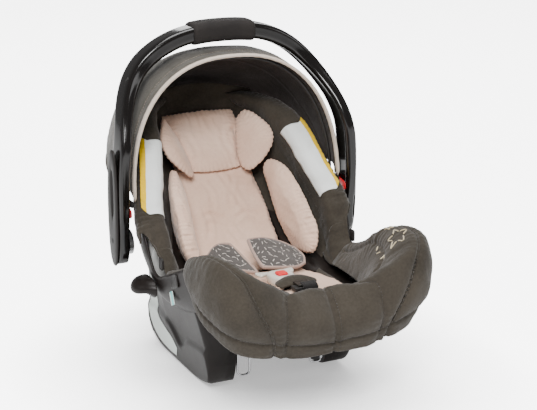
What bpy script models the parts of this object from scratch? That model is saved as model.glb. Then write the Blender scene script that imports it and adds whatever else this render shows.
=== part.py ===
"""Infant car seat with carry handle, rocker base, folding canopy and three-point harness.

Units are metres with +Z up. The foot end points towards -Y and the head end towards +Y.
The origin is on the floor, under the middle of the outer box.
"""

import math

import bmesh
import bpy
import numpy as np
from mathutils import Matrix

MM = 0.001
TITLE = "infant_car_seat"

# Driving dimensions. Lengths below are millimetres from a datum on the floor that lies
# DATUM_SHIFT in front of the final origin, and every mesh is converted by metres().
DATUM_SHIFT = 16.0
HANDLE_HALF_WIDTH = 220.0
HANDLE_TOP = 562.0
HANDLE_SPRING_LINE = 290.0
HANDLE_POWER = 2.5
LEG_DEPTH = 50.0
LEG_THICKNESS = 19.0
PIVOT_Y = 42.0
PIVOT_Z = 215.0
SHELL_WALL = 3.5
COVER_CLOTH = 3.2
CLEARANCE = 1.4
SECTION_POWER = 2.7
RUNNER_INNER = 83.0
RUNNER_OUTER = 125.0
RUNNER_FLARE = 28.0
RUNNER_WALL = 3.0
WEBBING_WIDTH = 38.0
WEBBING_THICKNESS = 1.6

# Stations of the bucket from head to foot: the middle line's y and z, then the rim's
# half width, y and z.
STATIONS = (
    (256, 400, 60, 250, 402),
    (269, 374, 88, 225, 402),
    (248, 345, 118, 188, 398),
    (208, 309, 138, 146, 388),
    (162, 264, 154, 92, 358),
    (110, 207, 169, 50, 310),
    (62, 150, 182, 12, 262),
    (10, 116, 184, -12, 236),
    (-48, 106, 180, -45, 184),
    (-110, 108, 176, -95, 198),
    (-175, 116, 168, -165, 230),
    (-235, 130, 160, -236, 248),
    (-278, 150, 144, -284, 246),
    (-298, 180, 96, -300, 204),
)
FOOT_END = len(STATIONS) - 1.0

# Lines of the foot wrap from the valley to the front middle: x, y, z.
FOOT_HEM = ((185, -62, 188), (183, -105, 197), (180, -150, 215), (180, -180, 227), (184, -200, 216),
            (185, -226, 186), (174, -262, 157), (146, -298, 133), (76, -318, 120), (0, -325, 119))
FOOT_FACE = ((185, -61, 196), (183, -104, 206), (180, -149, 225), (184, -178, 239), (191, -201, 236),
             (193, -240, 224), (188, -282, 212), (162, -321, 197), (80, -334, 172), (0, -333, 162))
FOOT_CREST = ((173, -58, 204), (170, -100, 216), (167, -146, 236), (170, -174, 250), (176, -201, 261),
              (177, -244, 272), (170, -286, 274), (140, -318, 256), (70, -311, 217), (0, -296, 209))
FOOT_INNER = ((156, -58, 186), (153, -100, 198), (147, -146, 220), (144, -174, 232), (141, -201, 239),
              (134, -236, 242), (118, -266, 234), (90, -276, 210), (46, -268, 196), (0, -262, 194))
FOOT_SEAT = ((134, -62, 158), (128, -100, 164), (123, -144, 168), (119, -172, 170), (114, -198, 171),
             (104, -226, 173), (88, -246, 175), (62, -252, 177), (32, -254, 178), (0, -254, 178))

COLOURS = {
    "shell_plastic": ((0.045, 0.038, 0.036), 0.55, 0.0),
    "handle_gloss": ((0.012, 0.011, 0.013), 0.18, 0.0),
    "hub_plastic": ((0.09, 0.085, 0.08), 0.6, 0.0),
    "grip_foam": ((0.02, 0.018, 0.018), 0.9, 0.0),
    "red_plastic": ((0.75, 0.03, 0.04), 0.35, 0.0),
    "cover_fabric": ((0.11, 0.095, 0.08), 0.95, 0.0),
    "canopy_fabric": ((0.17, 0.16, 0.14), 0.95, 0.0),
    "cream_piping": ((0.62, 0.55, 0.47), 0.9, 0.0),
    "insert_fabric": ((0.56, 0.42, 0.36), 0.9, 0.0),
    "harness_pad": ((0.18, 0.17, 0.165), 0.95, 0.0),
    "webbing": ((0.02, 0.02, 0.02), 0.8, 0.0),
    "buckle_grey": ((0.62, 0.6, 0.56), 0.4, 0.0),
    "steel": ((0.75, 0.75, 0.76), 0.2, 1.0),
    "foam": ((0.85, 0.85, 0.85), 0.9, 0.0),
}


def clear_scene():
    for obj in list(bpy.data.objects):
        bpy.data.objects.remove(obj, do_unlink=True)


def new_collection(name):
    collection = bpy.data.collections.new(name)
    bpy.context.scene.collection.children.link(collection)
    return collection


def make_material(name):
    colour, roughness, metallic = COLOURS[name]
    material = bpy.data.materials.new(name)
    material.use_nodes = True
    shader = material.node_tree.nodes["Principled BSDF"]
    shader.inputs["Base Color"].default_value = (*colour, 1.0)
    shader.inputs["Roughness"].default_value = roughness
    shader.inputs["Metallic"].default_value = metallic
    return material


clear_scene()
PARTS = new_collection(TITLE)
CUTTERS = new_collection("cutters")
MATERIALS = {name: make_material(name) for name in COLOURS}


def metres(points):
    """Millimetres from the datum to metres from the origin."""
    return (np.asarray(points, float) + (0.0, DATUM_SHIFT, 0.0)) * MM


def spline(rows, at):
    """Points at the parameters at, where whole numbers are the rows, on a Catmull-Rom curve."""
    rows = np.asarray(rows, float)
    ends = np.vstack([2 * rows[0] - rows[1], rows, 2 * rows[-1] - rows[-2]])
    at = np.atleast_1d(np.asarray(at, float))
    low = np.clip(np.floor(at).astype(int), 0, len(rows) - 2)
    part = (at - low)[:, None]
    p0, p1, p2, p3 = (ends[low + k] for k in range(4))
    return 0.5 * (2 * p1 + (p2 - p0) * part + (2 * p0 - 5 * p1 + 4 * p2 - p3) * part**2
                  + (3 * p1 - p0 - 3 * p2 + p3) * part**3)


def mirrored_line(rows, count):
    """A line from the left valley round to the right one, from the rows of its right half."""
    half = spline(rows, np.linspace(0, len(rows) - 1, count))
    left = half * (-1, 1, 1)
    return np.vstack([left, half[-2::-1]])


def station(at):
    """Middle line point, unit way up to the rim, depth and half width at each parameter."""
    rows = spline(STATIONS, at)
    middle = np.column_stack([np.zeros(len(rows)), rows[:, 0], rows[:, 1]])
    rise = np.column_stack([np.zeros(len(rows)), rows[:, 3], rows[:, 4]]) - middle
    depth = np.linalg.norm(rise, axis=1)
    return middle, rise / depth[:, None], depth, rows[:, 2]


def placed(at, across, height):
    """Grid of points from each station's own distances across and up."""
    middle, up, _, _ = station(at)
    grid = middle[:, None, :] + up[:, None, :] * height[:, :, None]
    grid[:, :, 0] += across
    return grid


def bucket(at, turns):
    """The bucket's outer surface: a superellipse section at each station."""
    _, _, depth, width = station(at)
    angle = np.asarray(turns) * math.pi / 2
    side = np.sign(angle) * np.abs(np.sin(angle)) ** (2 / SECTION_POWER)
    rise = 1 - np.abs(np.cos(angle)) ** (2 / SECTION_POWER)
    return placed(at, np.outer(width, side), np.outer(depth, rise))


def normals(grid):
    along = np.gradient(grid, axis=0)
    across = np.gradient(grid, axis=1)
    normal = np.cross(across, along)
    return normal / np.linalg.norm(normal, axis=2)[:, :, None]


def offset(grid, distance):
    """The grid moved along its normals, which point out of the bucket and down under it."""
    return grid - normals(grid) * distance


def well(at, half_profile):
    """Grid through a section given as half_profile(depth, width) rows from middle to edge."""
    _, _, depth, width = station(at)
    rows = np.array([half_profile(d, w) for d, w in zip(depth, width)], float)
    mirrored = rows[:, :0:-1] * (-1, 1)
    rows = np.concatenate([mirrored, rows], axis=1)
    return placed(at, rows[:, :, 0], rows[:, :, 1])


def back_section(depth, width):
    """Visible face of the cover beside the back: floor, side wall, flange and rim."""
    top = depth + 12
    inner = width - 36
    floor = min(26.0, 0.5 * depth + 4)
    return ((0, floor), (0.4 * inner, floor), (0.74 * inner, floor + 5),
            (0.93 * inner, 0.45 * top + 10), (inner, top - 12), (inner + 9, top - 1),
            (width - 12, top), (width - 3, top), (width + 5.5, top - 4), (width + 8, top - 13),
            (width + 8.5, top - 26))


def seat_section(depth, width):
    """Visible face of the cover over the seat, between the two sides of the foot wrap."""
    inner = width - 66
    return ((0, 40), (0.45 * inner, 40), (0.8 * inner, 42), (inner, 47))


def mesh_object(name, points, faces, slot, collection=None):
    mesh = bpy.data.meshes.new(name)
    mesh.from_pydata(metres(points).tolist(), [], [list(face) for face in faces])
    mesh.validate()
    return link(name, mesh, slot, collection)


def link(name, mesh, slot, collection=None):
    obj = bpy.data.objects.new(name, mesh)
    if slot:
        mesh.materials.append(MATERIALS[slot])
    (collection or PARTS).objects.link(obj)
    return obj


def grid_faces(rows, columns, start=0):
    index = np.arange(rows * columns).reshape(rows, columns) + start
    corners = (index[:-1, :-1], index[1:, :-1], index[1:, 1:], index[:-1, 1:])
    return np.stack([corner.ravel() for corner in corners], axis=1).tolist()


def sheet(name, grid, thickness, slot, side=-1.0):
    """A loft's open surface given its wall by Solidify, on the inner side by default."""
    rows, columns = grid.shape[:2]
    obj = mesh_object(name, grid.reshape(-1, 3), grid_faces(rows, columns), slot)
    solid = obj.modifiers.new("wall", "SOLIDIFY")
    solid.thickness = thickness * MM
    solid.offset = side
    solid.use_even_offset = False
    return obj


def between(name, outer, inner, slot):
    """A closed body between two grids of one size."""
    rows, columns = outer.shape[:2]
    count = rows * columns
    faces = grid_faces(rows, columns)
    faces += [face[::-1] for face in grid_faces(rows, columns, count)]
    index = np.arange(count).reshape(rows, columns)
    loop = list(index[0, :-1]) + list(index[:-1, -1]) + list(index[-1, :0:-1]) + list(index[:0:-1, 0])
    for here, there in zip(loop, loop[1:] + loop[:1]):
        faces.append((there, here, here + count, there + count))
    obj = mesh_object(name, np.vstack([outer.reshape(-1, 3), inner.reshape(-1, 3)]), faces, slot)
    face_outwards(obj)
    return obj


def face_outwards(obj):
    bm = bmesh.new()
    bm.from_mesh(obj.data)
    bmesh.ops.recalc_face_normals(bm, faces=bm.faces)
    bm.to_mesh(obj.data)
    bm.free()


def tube(name, rings, slot, collection=None):
    """A closed body lofted through rings of equal point count."""
    rings = np.asarray(rings, float)
    count, around = rings.shape[:2]
    closed = np.concatenate([rings, rings[:, :1]], axis=1)
    faces = []
    for row in range(count - 1):
        for column in range(around):
            nxt = (column + 1) % around
            a = row * around
            faces.append((a + column, a + nxt, a + around + nxt, a + around + column))
    faces.append(tuple(range(around)))
    faces.append(tuple(range(count * around - 1, (count - 1) * around - 1, -1)))
    obj = mesh_object(name, closed[:, :-1].reshape(-1, 3), faces, slot, collection)
    face_outwards(obj)
    return obj


def block(name, low, high, slot, bevel=0.0, collection=None):
    """A box between two corners, with rounded edges when bevel is given."""
    low = np.asarray(low, float)
    high = np.asarray(high, float)
    bm = bmesh.new()
    size = (high - low) * MM
    centre = metres((low + high) / 2)
    bmesh.ops.create_cube(bm, size=1.0, matrix=Matrix.Diagonal((*size, 1.0)))
    mesh = bpy.data.meshes.new(name)
    bm.to_mesh(mesh)
    bm.free()
    obj = link(name, mesh, slot, collection)
    obj.location = centre.tolist()
    if bevel:
        edge = obj.modifiers.new("edges", "BEVEL")
        edge.width = bevel * MM
        edge.segments = 2
    return obj


def cylinder_x(name, radius, low_x, high_x, y, z, slot, segments=24, collection=None):
    """A cylinder along X with its origin on its own axis."""
    bm = bmesh.new()
    length = (high_x - low_x) * MM
    turn = Matrix.Rotation(math.pi / 2, 4, "Y")
    bmesh.ops.create_cone(bm, cap_ends=True, segments=segments, radius1=radius * MM,
                          radius2=radius * MM, depth=length, matrix=turn)
    mesh = bpy.data.meshes.new(name)
    bm.to_mesh(mesh)
    bm.free()
    obj = link(name, mesh, slot, collection)
    obj.location = metres(((low_x + high_x) / 2, y, z)).tolist()
    return obj


def plate_yz(name, outline, low_x, high_x, slot, collection=None):
    """A flat outline in Y and Z, given its thickness along X."""
    low = [(low_x, y, z) for y, z in outline]
    high = [(high_x, y, z) for y, z in outline]
    return tube(name, (low, high), slot, collection)


def cut(obj, cutter):
    cutter.hide_render = True
    cutter.display_type = "WIRE"
    boolean = obj.modifiers.new("cut", "BOOLEAN")
    boolean.operation = "DIFFERENCE"
    boolean.solver = "EXACT"
    boolean.object = cutter
    return obj


def join(obj, other):
    cut(obj, other).modifiers[-1].operation = "UNION"


def curve_wire(name, points, radius, slot):
    """A round bar along points, with filled ends."""
    curve = bpy.data.curves.new(name, "CURVE")
    curve.dimensions = "3D"
    curve.bevel_depth = radius * MM
    curve.bevel_resolution = 2
    curve.use_fill_caps = True
    line = curve.splines.new("POLY")
    line.points.add(len(points) - 1)
    for knot, place in zip(line.points, metres(points)):
        knot.co = (*place, 1.0)
    return link(name, curve, slot)


def strap(name, middle, sideways, width, thickness, slot):
    """A flat strap along a middle line, its width along sideways."""
    middle = np.asarray(middle, float)
    sideways = np.asarray(sideways, float)
    sideways = sideways / np.linalg.norm(sideways)
    steps = np.linspace(-0.5, 0.5, 3)
    grid = middle[:, None, :] + sideways[None, None, :] * (steps * width)[None, :, None]
    return sheet(name, grid, thickness, slot, 0.0)


def cushion(name, rows, thickness, slot, levels=1):
    """A pad from a coarse cage of its middle surface, softened by subdivision."""
    grid = np.asarray(rows, float)
    obj = sheet(name, grid, thickness, slot, 0.0)
    soft = obj.modifiers.new("soft", "SUBSURF")
    soft.levels = levels
    soft.render_levels = levels
    return obj


def mirrored_pair(build):
    """The piece for the left side, at -X, and its mirror image for the right side."""
    return [build(side, mirror) for side, mirror in (("left", -1.0), ("right", 1.0))]


# Shell and base

def bucket_cutter(name, distance):
    """A closed body of the bucket's outer surface grown by distance, for trimming what meets it."""
    grid = offset(bucket(np.linspace(0, FOOT_END, 40), np.linspace(-1, 1, 21)), -distance)
    rings = [row for row in grid]
    return tube(name, rings, None, CUTTERS)


def build_shell():
    grid = bucket(np.linspace(0, FOOT_END, 34), np.linspace(-1, 1, 21))
    return sheet("shell_bucket", grid, SHELL_WALL, "shell_plastic", 1.0)


def skid_outline(inset):
    """Side view of a base runner: a rocker with a flat middle, from the toe round to the back."""
    lift = 8 * (inset > 0)
    return ((-139 + inset, 140 + lift), (-146 + inset, 70), (-141 + inset, 15 + inset),
            (-100, 5 + inset), (-55, inset), (55, inset), (92, 4 + inset), (126 - inset, 15 + inset),
            (148 - inset, 50), (156 - inset, 120), (160 - inset, 285 + lift), (110, 240 + lift),
            (40, 185 + lift), (-60, 146 + lift))


def runner_faces(inset, mirror):
    """Inner and outer side faces of a runner: the outer one flares upwards, except at the back."""
    outline = np.array(skid_outline(inset), float)
    y, z = outline.T
    flare = RUNNER_FLARE * np.clip((z - 10) / 130, 0, 1) ** 1.2 * np.clip((110 - y) / 80, 0, 1)
    inner = np.column_stack([np.full(len(y), RUNNER_INNER + inset), y, z])
    outer = np.column_stack([RUNNER_OUTER + flare - inset, y, z])
    return inner * (mirror, 1, 1), outer * (mirror, 1, 1)


def build_base():
    cutter = bucket_cutter("bucket_room", 0.6)

    def runner(side, mirror):
        obj = tube(f"base_runner_{side}", runner_faces(0.0, mirror), "shell_plastic")
        hollow = tube(f"runner_hollow_{side}", runner_faces(RUNNER_WALL, mirror), None, CUTTERS)
        cut(obj, hollow)
        return cut(obj, cutter)

    mirrored_pair(runner)
    for name, low_y, high_y, low_z, high_z in (("base_front_bar", -118, -94, 58, 82),
                                               ("base_rear_bar", 96, 120, 70, 100)):
        block(name, (-82.6, low_y, low_z), (82.6, high_y, high_z), "shell_plastic", 4)

    def loop(side, mirror):
        foot = [(mirror * (66 + dx), -135, z) for dx, z in
                ((-11, 86), (-11, 30), (-8, 22), (-3, 19), (3, 19), (8, 22), (11, 30), (11, 86))]
        curve_wire(f"latch_loop_{side}", foot, 2.0, "steel")
        mount = block(f"latch_mount_{side}", (mirror * 66 - 16.5, -146, 86.4),
                      (mirror * 66 + 16.5, -124, 125), "shell_plastic")
        return cut(mount, cutter)

    mirrored_pair(loop)
    return cutter


# Cover, liner and insert

BACK_RANGE = (0.8, 7.62)
SEAT_RANGE = (7.72, 10.95)


def build_cover():
    back = well(np.linspace(*BACK_RANGE, 30), back_section)
    sheet("cover_back", back, COVER_CLOTH, "cover_fabric")
    seat = well(np.linspace(*SEAT_RANGE, 14), seat_section)
    sheet("cover_seat", seat, COVER_CLOTH, "cover_fabric")
    lines = [mirrored_line(rows, 13) for rows in
             (FOOT_HEM, FOOT_FACE, FOOT_CREST, FOOT_INNER, FOOT_SEAT)]
    across = np.linspace(0, len(lines) - 1, 13)
    flat = spline(np.array(lines).reshape(len(lines), -1), across)
    wrap = flat.reshape(len(across), -1, 3)
    sheet("cover_foot", wrap, COVER_CLOTH, "cover_fabric", 1.0)


def build_liner():
    """The rigid foam between the shell and the cover beside the back."""
    at = np.linspace(1.0, 7.2, 26)
    visible = well(at, back_section)[:, 4:-4]
    inner = offset(visible, -COVER_CLOTH - CLEARANCE)
    turns = np.linspace(-0.88, 0.88, visible.shape[1])
    outer = offset(bucket(at, turns), SHELL_WALL + CLEARANCE)
    between("foam_liner", outer, inner, "foam")


def on_well(at, across, lift):
    """A point above the cover's floor: lift is measured up from the floor at that station."""
    middle, up, depth, width = station(at)
    floor = np.array([back_section(d, w)[0][1] if a < SEAT_RANGE[0] else 40.0
                      for a, d, w in zip(np.atleast_1d(at), depth, width)])
    point = middle + up * (floor + lift)[:, None]
    point[:, 0] += across
    return point[0]


def build_insert():
    """The padded insert: back pad, seat pad, side bolsters, head pad and its two wings."""
    back_rows = [[on_well(np.array([at]), x, 9.0) for x in (-w, -w / 3, w / 3, w)]
                 for at, w in ((3.3, 68), (4.2, 74), (5.1, 79), (6.0, 82), (6.9, 83))]
    cushion("back_pad", back_rows, 11.0, "insert_fabric")
    seat_rows = [[on_well(np.array([at]), x, 9.0) for x in (-w, -w / 3, w / 3, w)]
                 for at, w in ((7.95, 84), (8.8, 88), (9.7, 88), (10.6, 80), (11.2, 66))]
    cushion("seat_pad", seat_rows, 11.0, "insert_fabric")

    def bolster(side, mirror):
        rows = [((mirror * x0, y0, z0), (mirror * x1, y1, z1), (mirror * x2, y2, z2))
                for (x0, y0, z0), (x1, y1, z1), (x2, y2, z2) in BOLSTER_CAGE]
        return cushion(f"insert_bolster_{side}", rows, 24.0, "insert_fabric")

    mirrored_pair(bolster)
    head_rows = [[on_well(np.array([at]), x, 24.0) for x in (-w, -w / 3, w / 3, w)]
                 for at, w in ((1.85, 60), (2.6, 60), (3.4, 53), (4.2, 46))]
    cushion("head_pad", head_rows, 12.0, "insert_fabric")

    def wing(side, mirror):
        rows = [((mirror * x0, y0, z0), (mirror * x1, y1, z1), (mirror * x2, y2, z2))
                for (x0, y0, z0), (x1, y1, z1), (x2, y2, z2) in HEAD_WING_CAGE]
        return cushion(f"head_wing_{side}", rows, 15.0, "insert_fabric")

    mirrored_pair(wing)


BOLSTER_CAGE = (
    ((82, 118, 300), (90, 100, 310), (96, 84, 318)),
    ((88, 92, 258), (99, 66, 280), (106, 46, 296)),
    ((92, 56, 212), (105, 24, 238), (113, 0, 256)),
    ((95, 26, 178), (109, -14, 200), (116, -34, 214)),
    ((94, -10, 168), (103, -40, 176), (110, -52, 184)),
)
HEAD_WING_CAGE = (
    ((72, 192, 368), (79, 176, 382), (88, 162, 386)),
    ((72, 168, 348), (86, 142, 362), (101, 126, 362)),
    ((68, 142, 318), (82, 116, 332), (99, 106, 334)),
    ((62, 122, 292), (70, 108, 300), (80, 100, 304)),
)


# Harness

def build_harness():
    """Shoulder straps, lap straps, pads, crotch strap, buckle and adjuster."""

    def upper_strap(side, mirror):
        line = [(mirror * 36, -4, 190), (mirror * 36, -18, 184), (mirror * 36, -32, 177),
                (mirror * 36, -46, 172), (mirror * 36, -60, 168.5)]
        return strap(f"shoulder_strap_{side}", line, (1, 0, 0.0), WEBBING_WIDTH - 8,
                     WEBBING_THICKNESS, "webbing")

    mirrored_pair(upper_strap)
    cushion("harness_pad_left", (
        ((-86, -32, 188), (-85, -52, 187), (-80, -70, 183)),
        ((-62, -16, 203), (-58, -46, 193), (-51, -82, 181)),
        ((-38, -20, 206), (-33, -60, 191), (-27, -98, 176)),
    ), 9.0, "harness_pad")
    cushion("harness_pad_right", (
        ((-8, -16, 208), (-9, -52, 193), (-11, -88, 180)),
        ((22, -18, 206), (25, -54, 191), (27, -92, 177)),
        ((50, -26, 198), (55, -56, 184), (52, -88, 174)),
        ((72, -42, 189), (76, -60, 182), (70, -80, 176)),
    ), 9.0, "harness_pad")
    body = block("buckle_body", (-21, -162, 170), (21, -118, 187), "buckle_grey", 4)
    cut(body, block("button_pocket", (-9.6, -149.6, 179), (9.6, -130.4, 199), None, 0, CUTTERS))
    block("buckle_button", (-9, -149, 182.5), (9, -131, 189.5), "red_plastic", 1.2)
    for side, mirror in (("left", -1.0), ("right", 1.0)):
        low = min(mirror * 4, mirror * 19)
        high = max(mirror * 4, mirror * 19)
        block(f"buckle_tongue_{side}", (low, -117.6, 175), (high, -107, 181), "buckle_grey", 1)
    crotch = [(0, -169, 173.4), (0, -177, 173.6), (0, -183, 175.5), (0, -185, 178.5), (0, -181, 181.5),
              (0, -173, 181), (0, -162.6, 179)]
    strap("crotch_strap", crotch, (1, 0, 0), WEBBING_WIDTH - 4, WEBBING_THICKNESS, "webbing")
    tail = [(0, -233, 190), (0, -240, 191), (0, -246, 196), (0, -243, 201), (0, -232, 203)]
    strap("adjuster_strap", tail, (1, 0, 0), 25, WEBBING_THICKNESS, "webbing")


# Handle and its hubs

def handle_bow(height):
    """The middle of the handle's depth at a height: forward at the legs, swept back at the grip."""
    rise = np.clip((height - 372) / (522 - 372), 0, 1)
    drop = np.clip((height - 215) / (290 - 215), 0, 1)
    return 33 + 68 * rise * rise * (3 - 2 * rise) + 9 * (1 - drop * drop * (3 - 2 * drop))


def arch_line(count, inset):
    """Points of the arch at a distance inside its outer line, and the way out at each."""
    legs = np.linspace(PIVOT_Z - 2, HANDLE_SPRING_LINE, 4)[:-1]
    angle = np.linspace(0, math.pi / 2, count)
    high = HANDLE_TOP - HANDLE_SPRING_LINE
    x = HANDLE_HALF_WIDTH * np.cos(angle) ** (2 / HANDLE_POWER)
    z = HANDLE_SPRING_LINE + high * np.sin(angle) ** (2 / HANDLE_POWER)
    x = np.concatenate([np.full(len(legs), HANDLE_HALF_WIDTH), x])
    z = np.concatenate([legs, z])
    x = np.concatenate([-x, x[-2::-1]])
    z = np.concatenate([z, z[-2::-1]])
    run = np.column_stack([np.gradient(x), np.gradient(z)])
    run /= np.linalg.norm(run, axis=1)[:, None]
    out = np.column_stack([-run[:, 1], run[:, 0]])
    return x - out[:, 0] * inset, z - out[:, 1] * inset, out


def build_handle():
    thickness = LEG_THICKNESS
    x, z, out = arch_line(16, thickness / 2)
    height = np.clip(z, 0, HANDLE_TOP)
    top = np.clip((height - 430) / 110, 0, 1)
    half_deep = (LEG_DEPTH - 8 * top) / 2
    half_thick = (thickness + 9 * top) / 2
    angle = np.linspace(0, 2 * math.pi, 12, endpoint=False) + math.pi / 12
    side = np.sign(np.cos(angle)) * np.abs(np.cos(angle)) ** 0.45
    face = np.sign(np.sin(angle)) * np.abs(np.sin(angle)) ** 0.45
    shift = (half_thick - thickness / 2)[:, None]
    ring_x = x[:, None] + out[:, 0:1] * (np.outer(half_thick, side) - shift)
    ring_z = z[:, None] + out[:, 1:2] * (np.outer(half_thick, side) - shift)
    ring_y = handle_bow(height)[:, None] + np.outer(half_deep, face)
    rings = np.stack([ring_x, ring_y, ring_z], axis=2)
    arch = tube("handle_arch", rings, "handle_gloss")

    def foot_of_leg(side, mirror):
        outer = mirror * HANDLE_HALF_WIDTH
        inner = mirror * (HANDLE_HALF_WIDTH - LEG_THICKNESS)
        angles = np.linspace(0, math.pi, 13)
        outline = [(PIVOT_Y + LEG_DEPTH / 2 * math.cos(a), PIVOT_Z + 4 - 40 * math.sin(a)) for a in angles]
        join(arch, plate_yz(f"leg_end_{side}", outline, inner, outer, None, CUTTERS))
        cover = [(PIVOT_Y + 24 * math.cos(a), 206 - 30 * math.sin(a)) for a in angles]
        cover += [(18, 262), (14, 300), (15, 340), (22, 372), (40, 378), (52, 366), (58, 330), (62, 262)]
        shield = plate_yz(f"hub_cover_{side}", cover, outer + mirror * 0.4, outer + mirror * 3.6,
                          "hub_plastic")
        slot = plate_yz(f"shield_slot_{side}", [(34, 262), (32, 300), (33, 330), (38, 344), (44, 330),
                                                (45, 300), (44, 262)],
                        outer - mirror * 3, outer + mirror * 9, None, CUTTERS)
        cut(shield, slot)
        hole = cylinder_x(f"screw_hole_{side}", 4.2, outer - 6, outer + 6, PIVOT_Y, PIVOT_Z + 3, None,
                          16, CUTTERS)
        cut(shield, hole)
        low = min(outer + mirror * 0.4, outer + mirror * 2.2)
        cylinder_x(f"hub_screw_{side}", 3.6, low, low + 1.8, PIVOT_Y, PIVOT_Z + 3, "steel", 12)
        disc_low = min(inner - mirror * 0.4, inner - mirror * 8)
        cylinder_x(f"hub_lock_disc_{side}", 21, disc_low, disc_low + 7.6, PIVOT_Y, PIVOT_Z, "steel")
        button = [(8, 258), (10, 274), (104, 297), (110, 290), (108, 283), (60, 270)]
        near = inner - mirror * 0.6
        return plate_yz(f"release_button_{side}", button, near - mirror * 3.2, near, "red_plastic")

    mirrored_pair(foot_of_leg)
    sleeve_x = np.linspace(-56, 56, 9)
    rings = []
    for place in sleeve_x:
        fall = HANDLE_TOP - HANDLE_SPRING_LINE
        z_top = HANDLE_SPRING_LINE + fall * (1 - abs(place / HANDLE_HALF_WIDTH) ** HANDLE_POWER) ** (
            1 / HANDLE_POWER)
        centre = z_top - 14
        rings.append([(place, 101 + 26 * math.copysign(abs(math.cos(a)) ** 0.6, math.cos(a)),
                       centre + 18.5 * math.copysign(abs(math.sin(a)) ** 0.6, math.sin(a)))
                      for a in np.linspace(0, 2 * math.pi, 20, endpoint=False)])
    sleeve = tube("grip_sleeve", rings, "grip_foam")
    bore = []
    for row in range(len(x)):
        if abs(x[row]) < 120:
            grown = []
            for k in range(len(angle)):
                shift_out = (half_thick[row] + 0.5) * side[k] - shift[row, 0]
                grown.append((x[row] + out[row, 0] * shift_out,
                              handle_bow(height)[row] + (half_deep[row] + 0.5) * face[k],
                              z[row] + out[row, 1] * shift_out))
            bore.append(grown)
    cut(sleeve, tube("sleeve_bore", bore, None, CUTTERS))


# Canopy

CANOPY_AXIS = (PIVOT_Y, PIVOT_Z)


def front_arch(turn):
    """The canopy's front edge: 0 at the left foot of the arch, 1 at the right one."""
    angle = np.asarray(turn) * math.pi
    x = -189 * np.sign(np.cos(angle)) * np.abs(np.cos(angle)) ** (2 / 2.35)
    rise = np.abs(np.sin(angle)) ** (2 / 2.35)
    return np.column_stack([x, 28 + 26 * rise, 288 + 224 * rise])


def rear_arch(turn):
    """The canopy's rear hem, round the outside of the head end."""
    angle = np.asarray(turn) * math.pi
    x = -184 * np.sign(np.cos(angle)) * np.abs(np.cos(angle)) ** (2 / 2.9)
    back = np.abs(np.sin(angle)) ** (2 / 2.9)
    return np.column_stack([x, 96 + 205 * back, 286 + 62 * back**1.6])


def canopy_grid(turns, steps):
    """The hood between its two edges, worked out as distance and angle round the pivot line."""
    front = front_arch(turns)
    rear = rear_arch(turns)
    polar = []
    for edge in (front, rear):
        y = edge[:, 1] - CANOPY_AXIS[0]
        z = edge[:, 2] - CANOPY_AXIS[1]
        polar.append((edge[:, 0], np.hypot(y, z), np.arctan2(z, y)))
    part = np.asarray(steps)[:, None]
    swell = np.sin(part * math.pi)
    crown = 1 - np.abs(2 * part - 1) ** 3
    mid = np.sin(np.asarray(turns) * math.pi)
    x = polar[0][0] * (1 - part) + polar[1][0] * part
    x = x * (1 + 0.03 * swell)
    reach = polar[0][1] * (1 - part) + polar[1][1] * part + crown * (9 + 6 * mid)
    angle = polar[0][2] * (1 - part) + polar[1][2] * part
    y = CANOPY_AXIS[0] + reach * np.cos(angle)
    z = CANOPY_AXIS[1] + reach * np.sin(angle)
    return np.stack([x, y, z], axis=2)


def build_canopy():
    turns = np.linspace(0, 1, 25)
    hood = canopy_grid(turns, np.linspace(0.03, 1, 12))
    sheet("canopy_fabric", hood, 2.4, "canopy_fabric", 0.0)
    edge = front_arch(np.linspace(0, 1, 33))
    curve_wire("canopy_piping", edge + (0, -5.4, 0), 3.0, "cream_piping")
    bow = front_arch(np.linspace(0.012, 0.988, 25)) * (0.973, 1, 1) + (0, 14, -7)
    curve_wire("canopy_bow", bow, 3.0, "shell_plastic")

    def clip(side, mirror):
        low = min(mirror * 189.5, mirror * 194.5)
        return block(f"canopy_clip_{side}", (low, 28, 276), (low + 5, 56, 287), "shell_plastic", 1.5)

    mirrored_pair(clip)


# Belt guides and patches

def build_guides():
    def guide(side, mirror):
        tip = mirror * 30
        base = mirror * 186
        rings = []
        for part, half_y, half_z in ((0, 34, 17), (0.35, 32, 16), (0.7, 27, 14), (1, 18, 9)):
            centre = np.array([base + tip * part, -28 + 6 * part, 158 - 4 * part])
            rings.append([centre + (0, half_y * math.cos(a), half_z * math.sin(a) * (1 + 0.2 * part))
                          for a in np.linspace(0, 2 * math.pi, 14, endpoint=False)])
        return tube(f"belt_guide_{side}", rings, "shell_plastic")

    mirrored_pair(guide)


def build_small_pieces(cutter):
    block("adjuster_housing", (-20, -232, 186.5), (20, -214, 194), "shell_plastic", 1.5)
    block("adjuster_lever", (-13, -229, 194.4), (13, -207, 197.4), "steel", 0.8)
    block("splitter_plate", (-22, 216, 288), (22, 219, 312), "steel", 0.8)
    lever = block("release_lever", (-48, 176, 206), (48, 196, 220), "shell_plastic", 4)
    bracket = block("release_bracket", (-60, 168, 230), (60, 204, 268), "shell_plastic", 3)
    cut(bracket, cutter)
    return lever


def build():
    build_shell()
    cutter = build_base()
    build_cover()
    build_liner()
    build_insert()
    build_harness()
    build_handle()
    build_canopy()
    build_guides()
    build_small_pieces(cutter)


build()
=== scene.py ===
"""Looks of an infant car seat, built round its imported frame.

Lengths in the sub-assembly classes are millimetres from the frame's datum, and metres() turns
them into the frame's own metres. Every soft piece is a grid of points worked out with numpy.
"""

from __future__ import annotations

import logging
import math
from collections.abc import Callable
from dataclasses import dataclass
from enum import Enum

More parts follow.
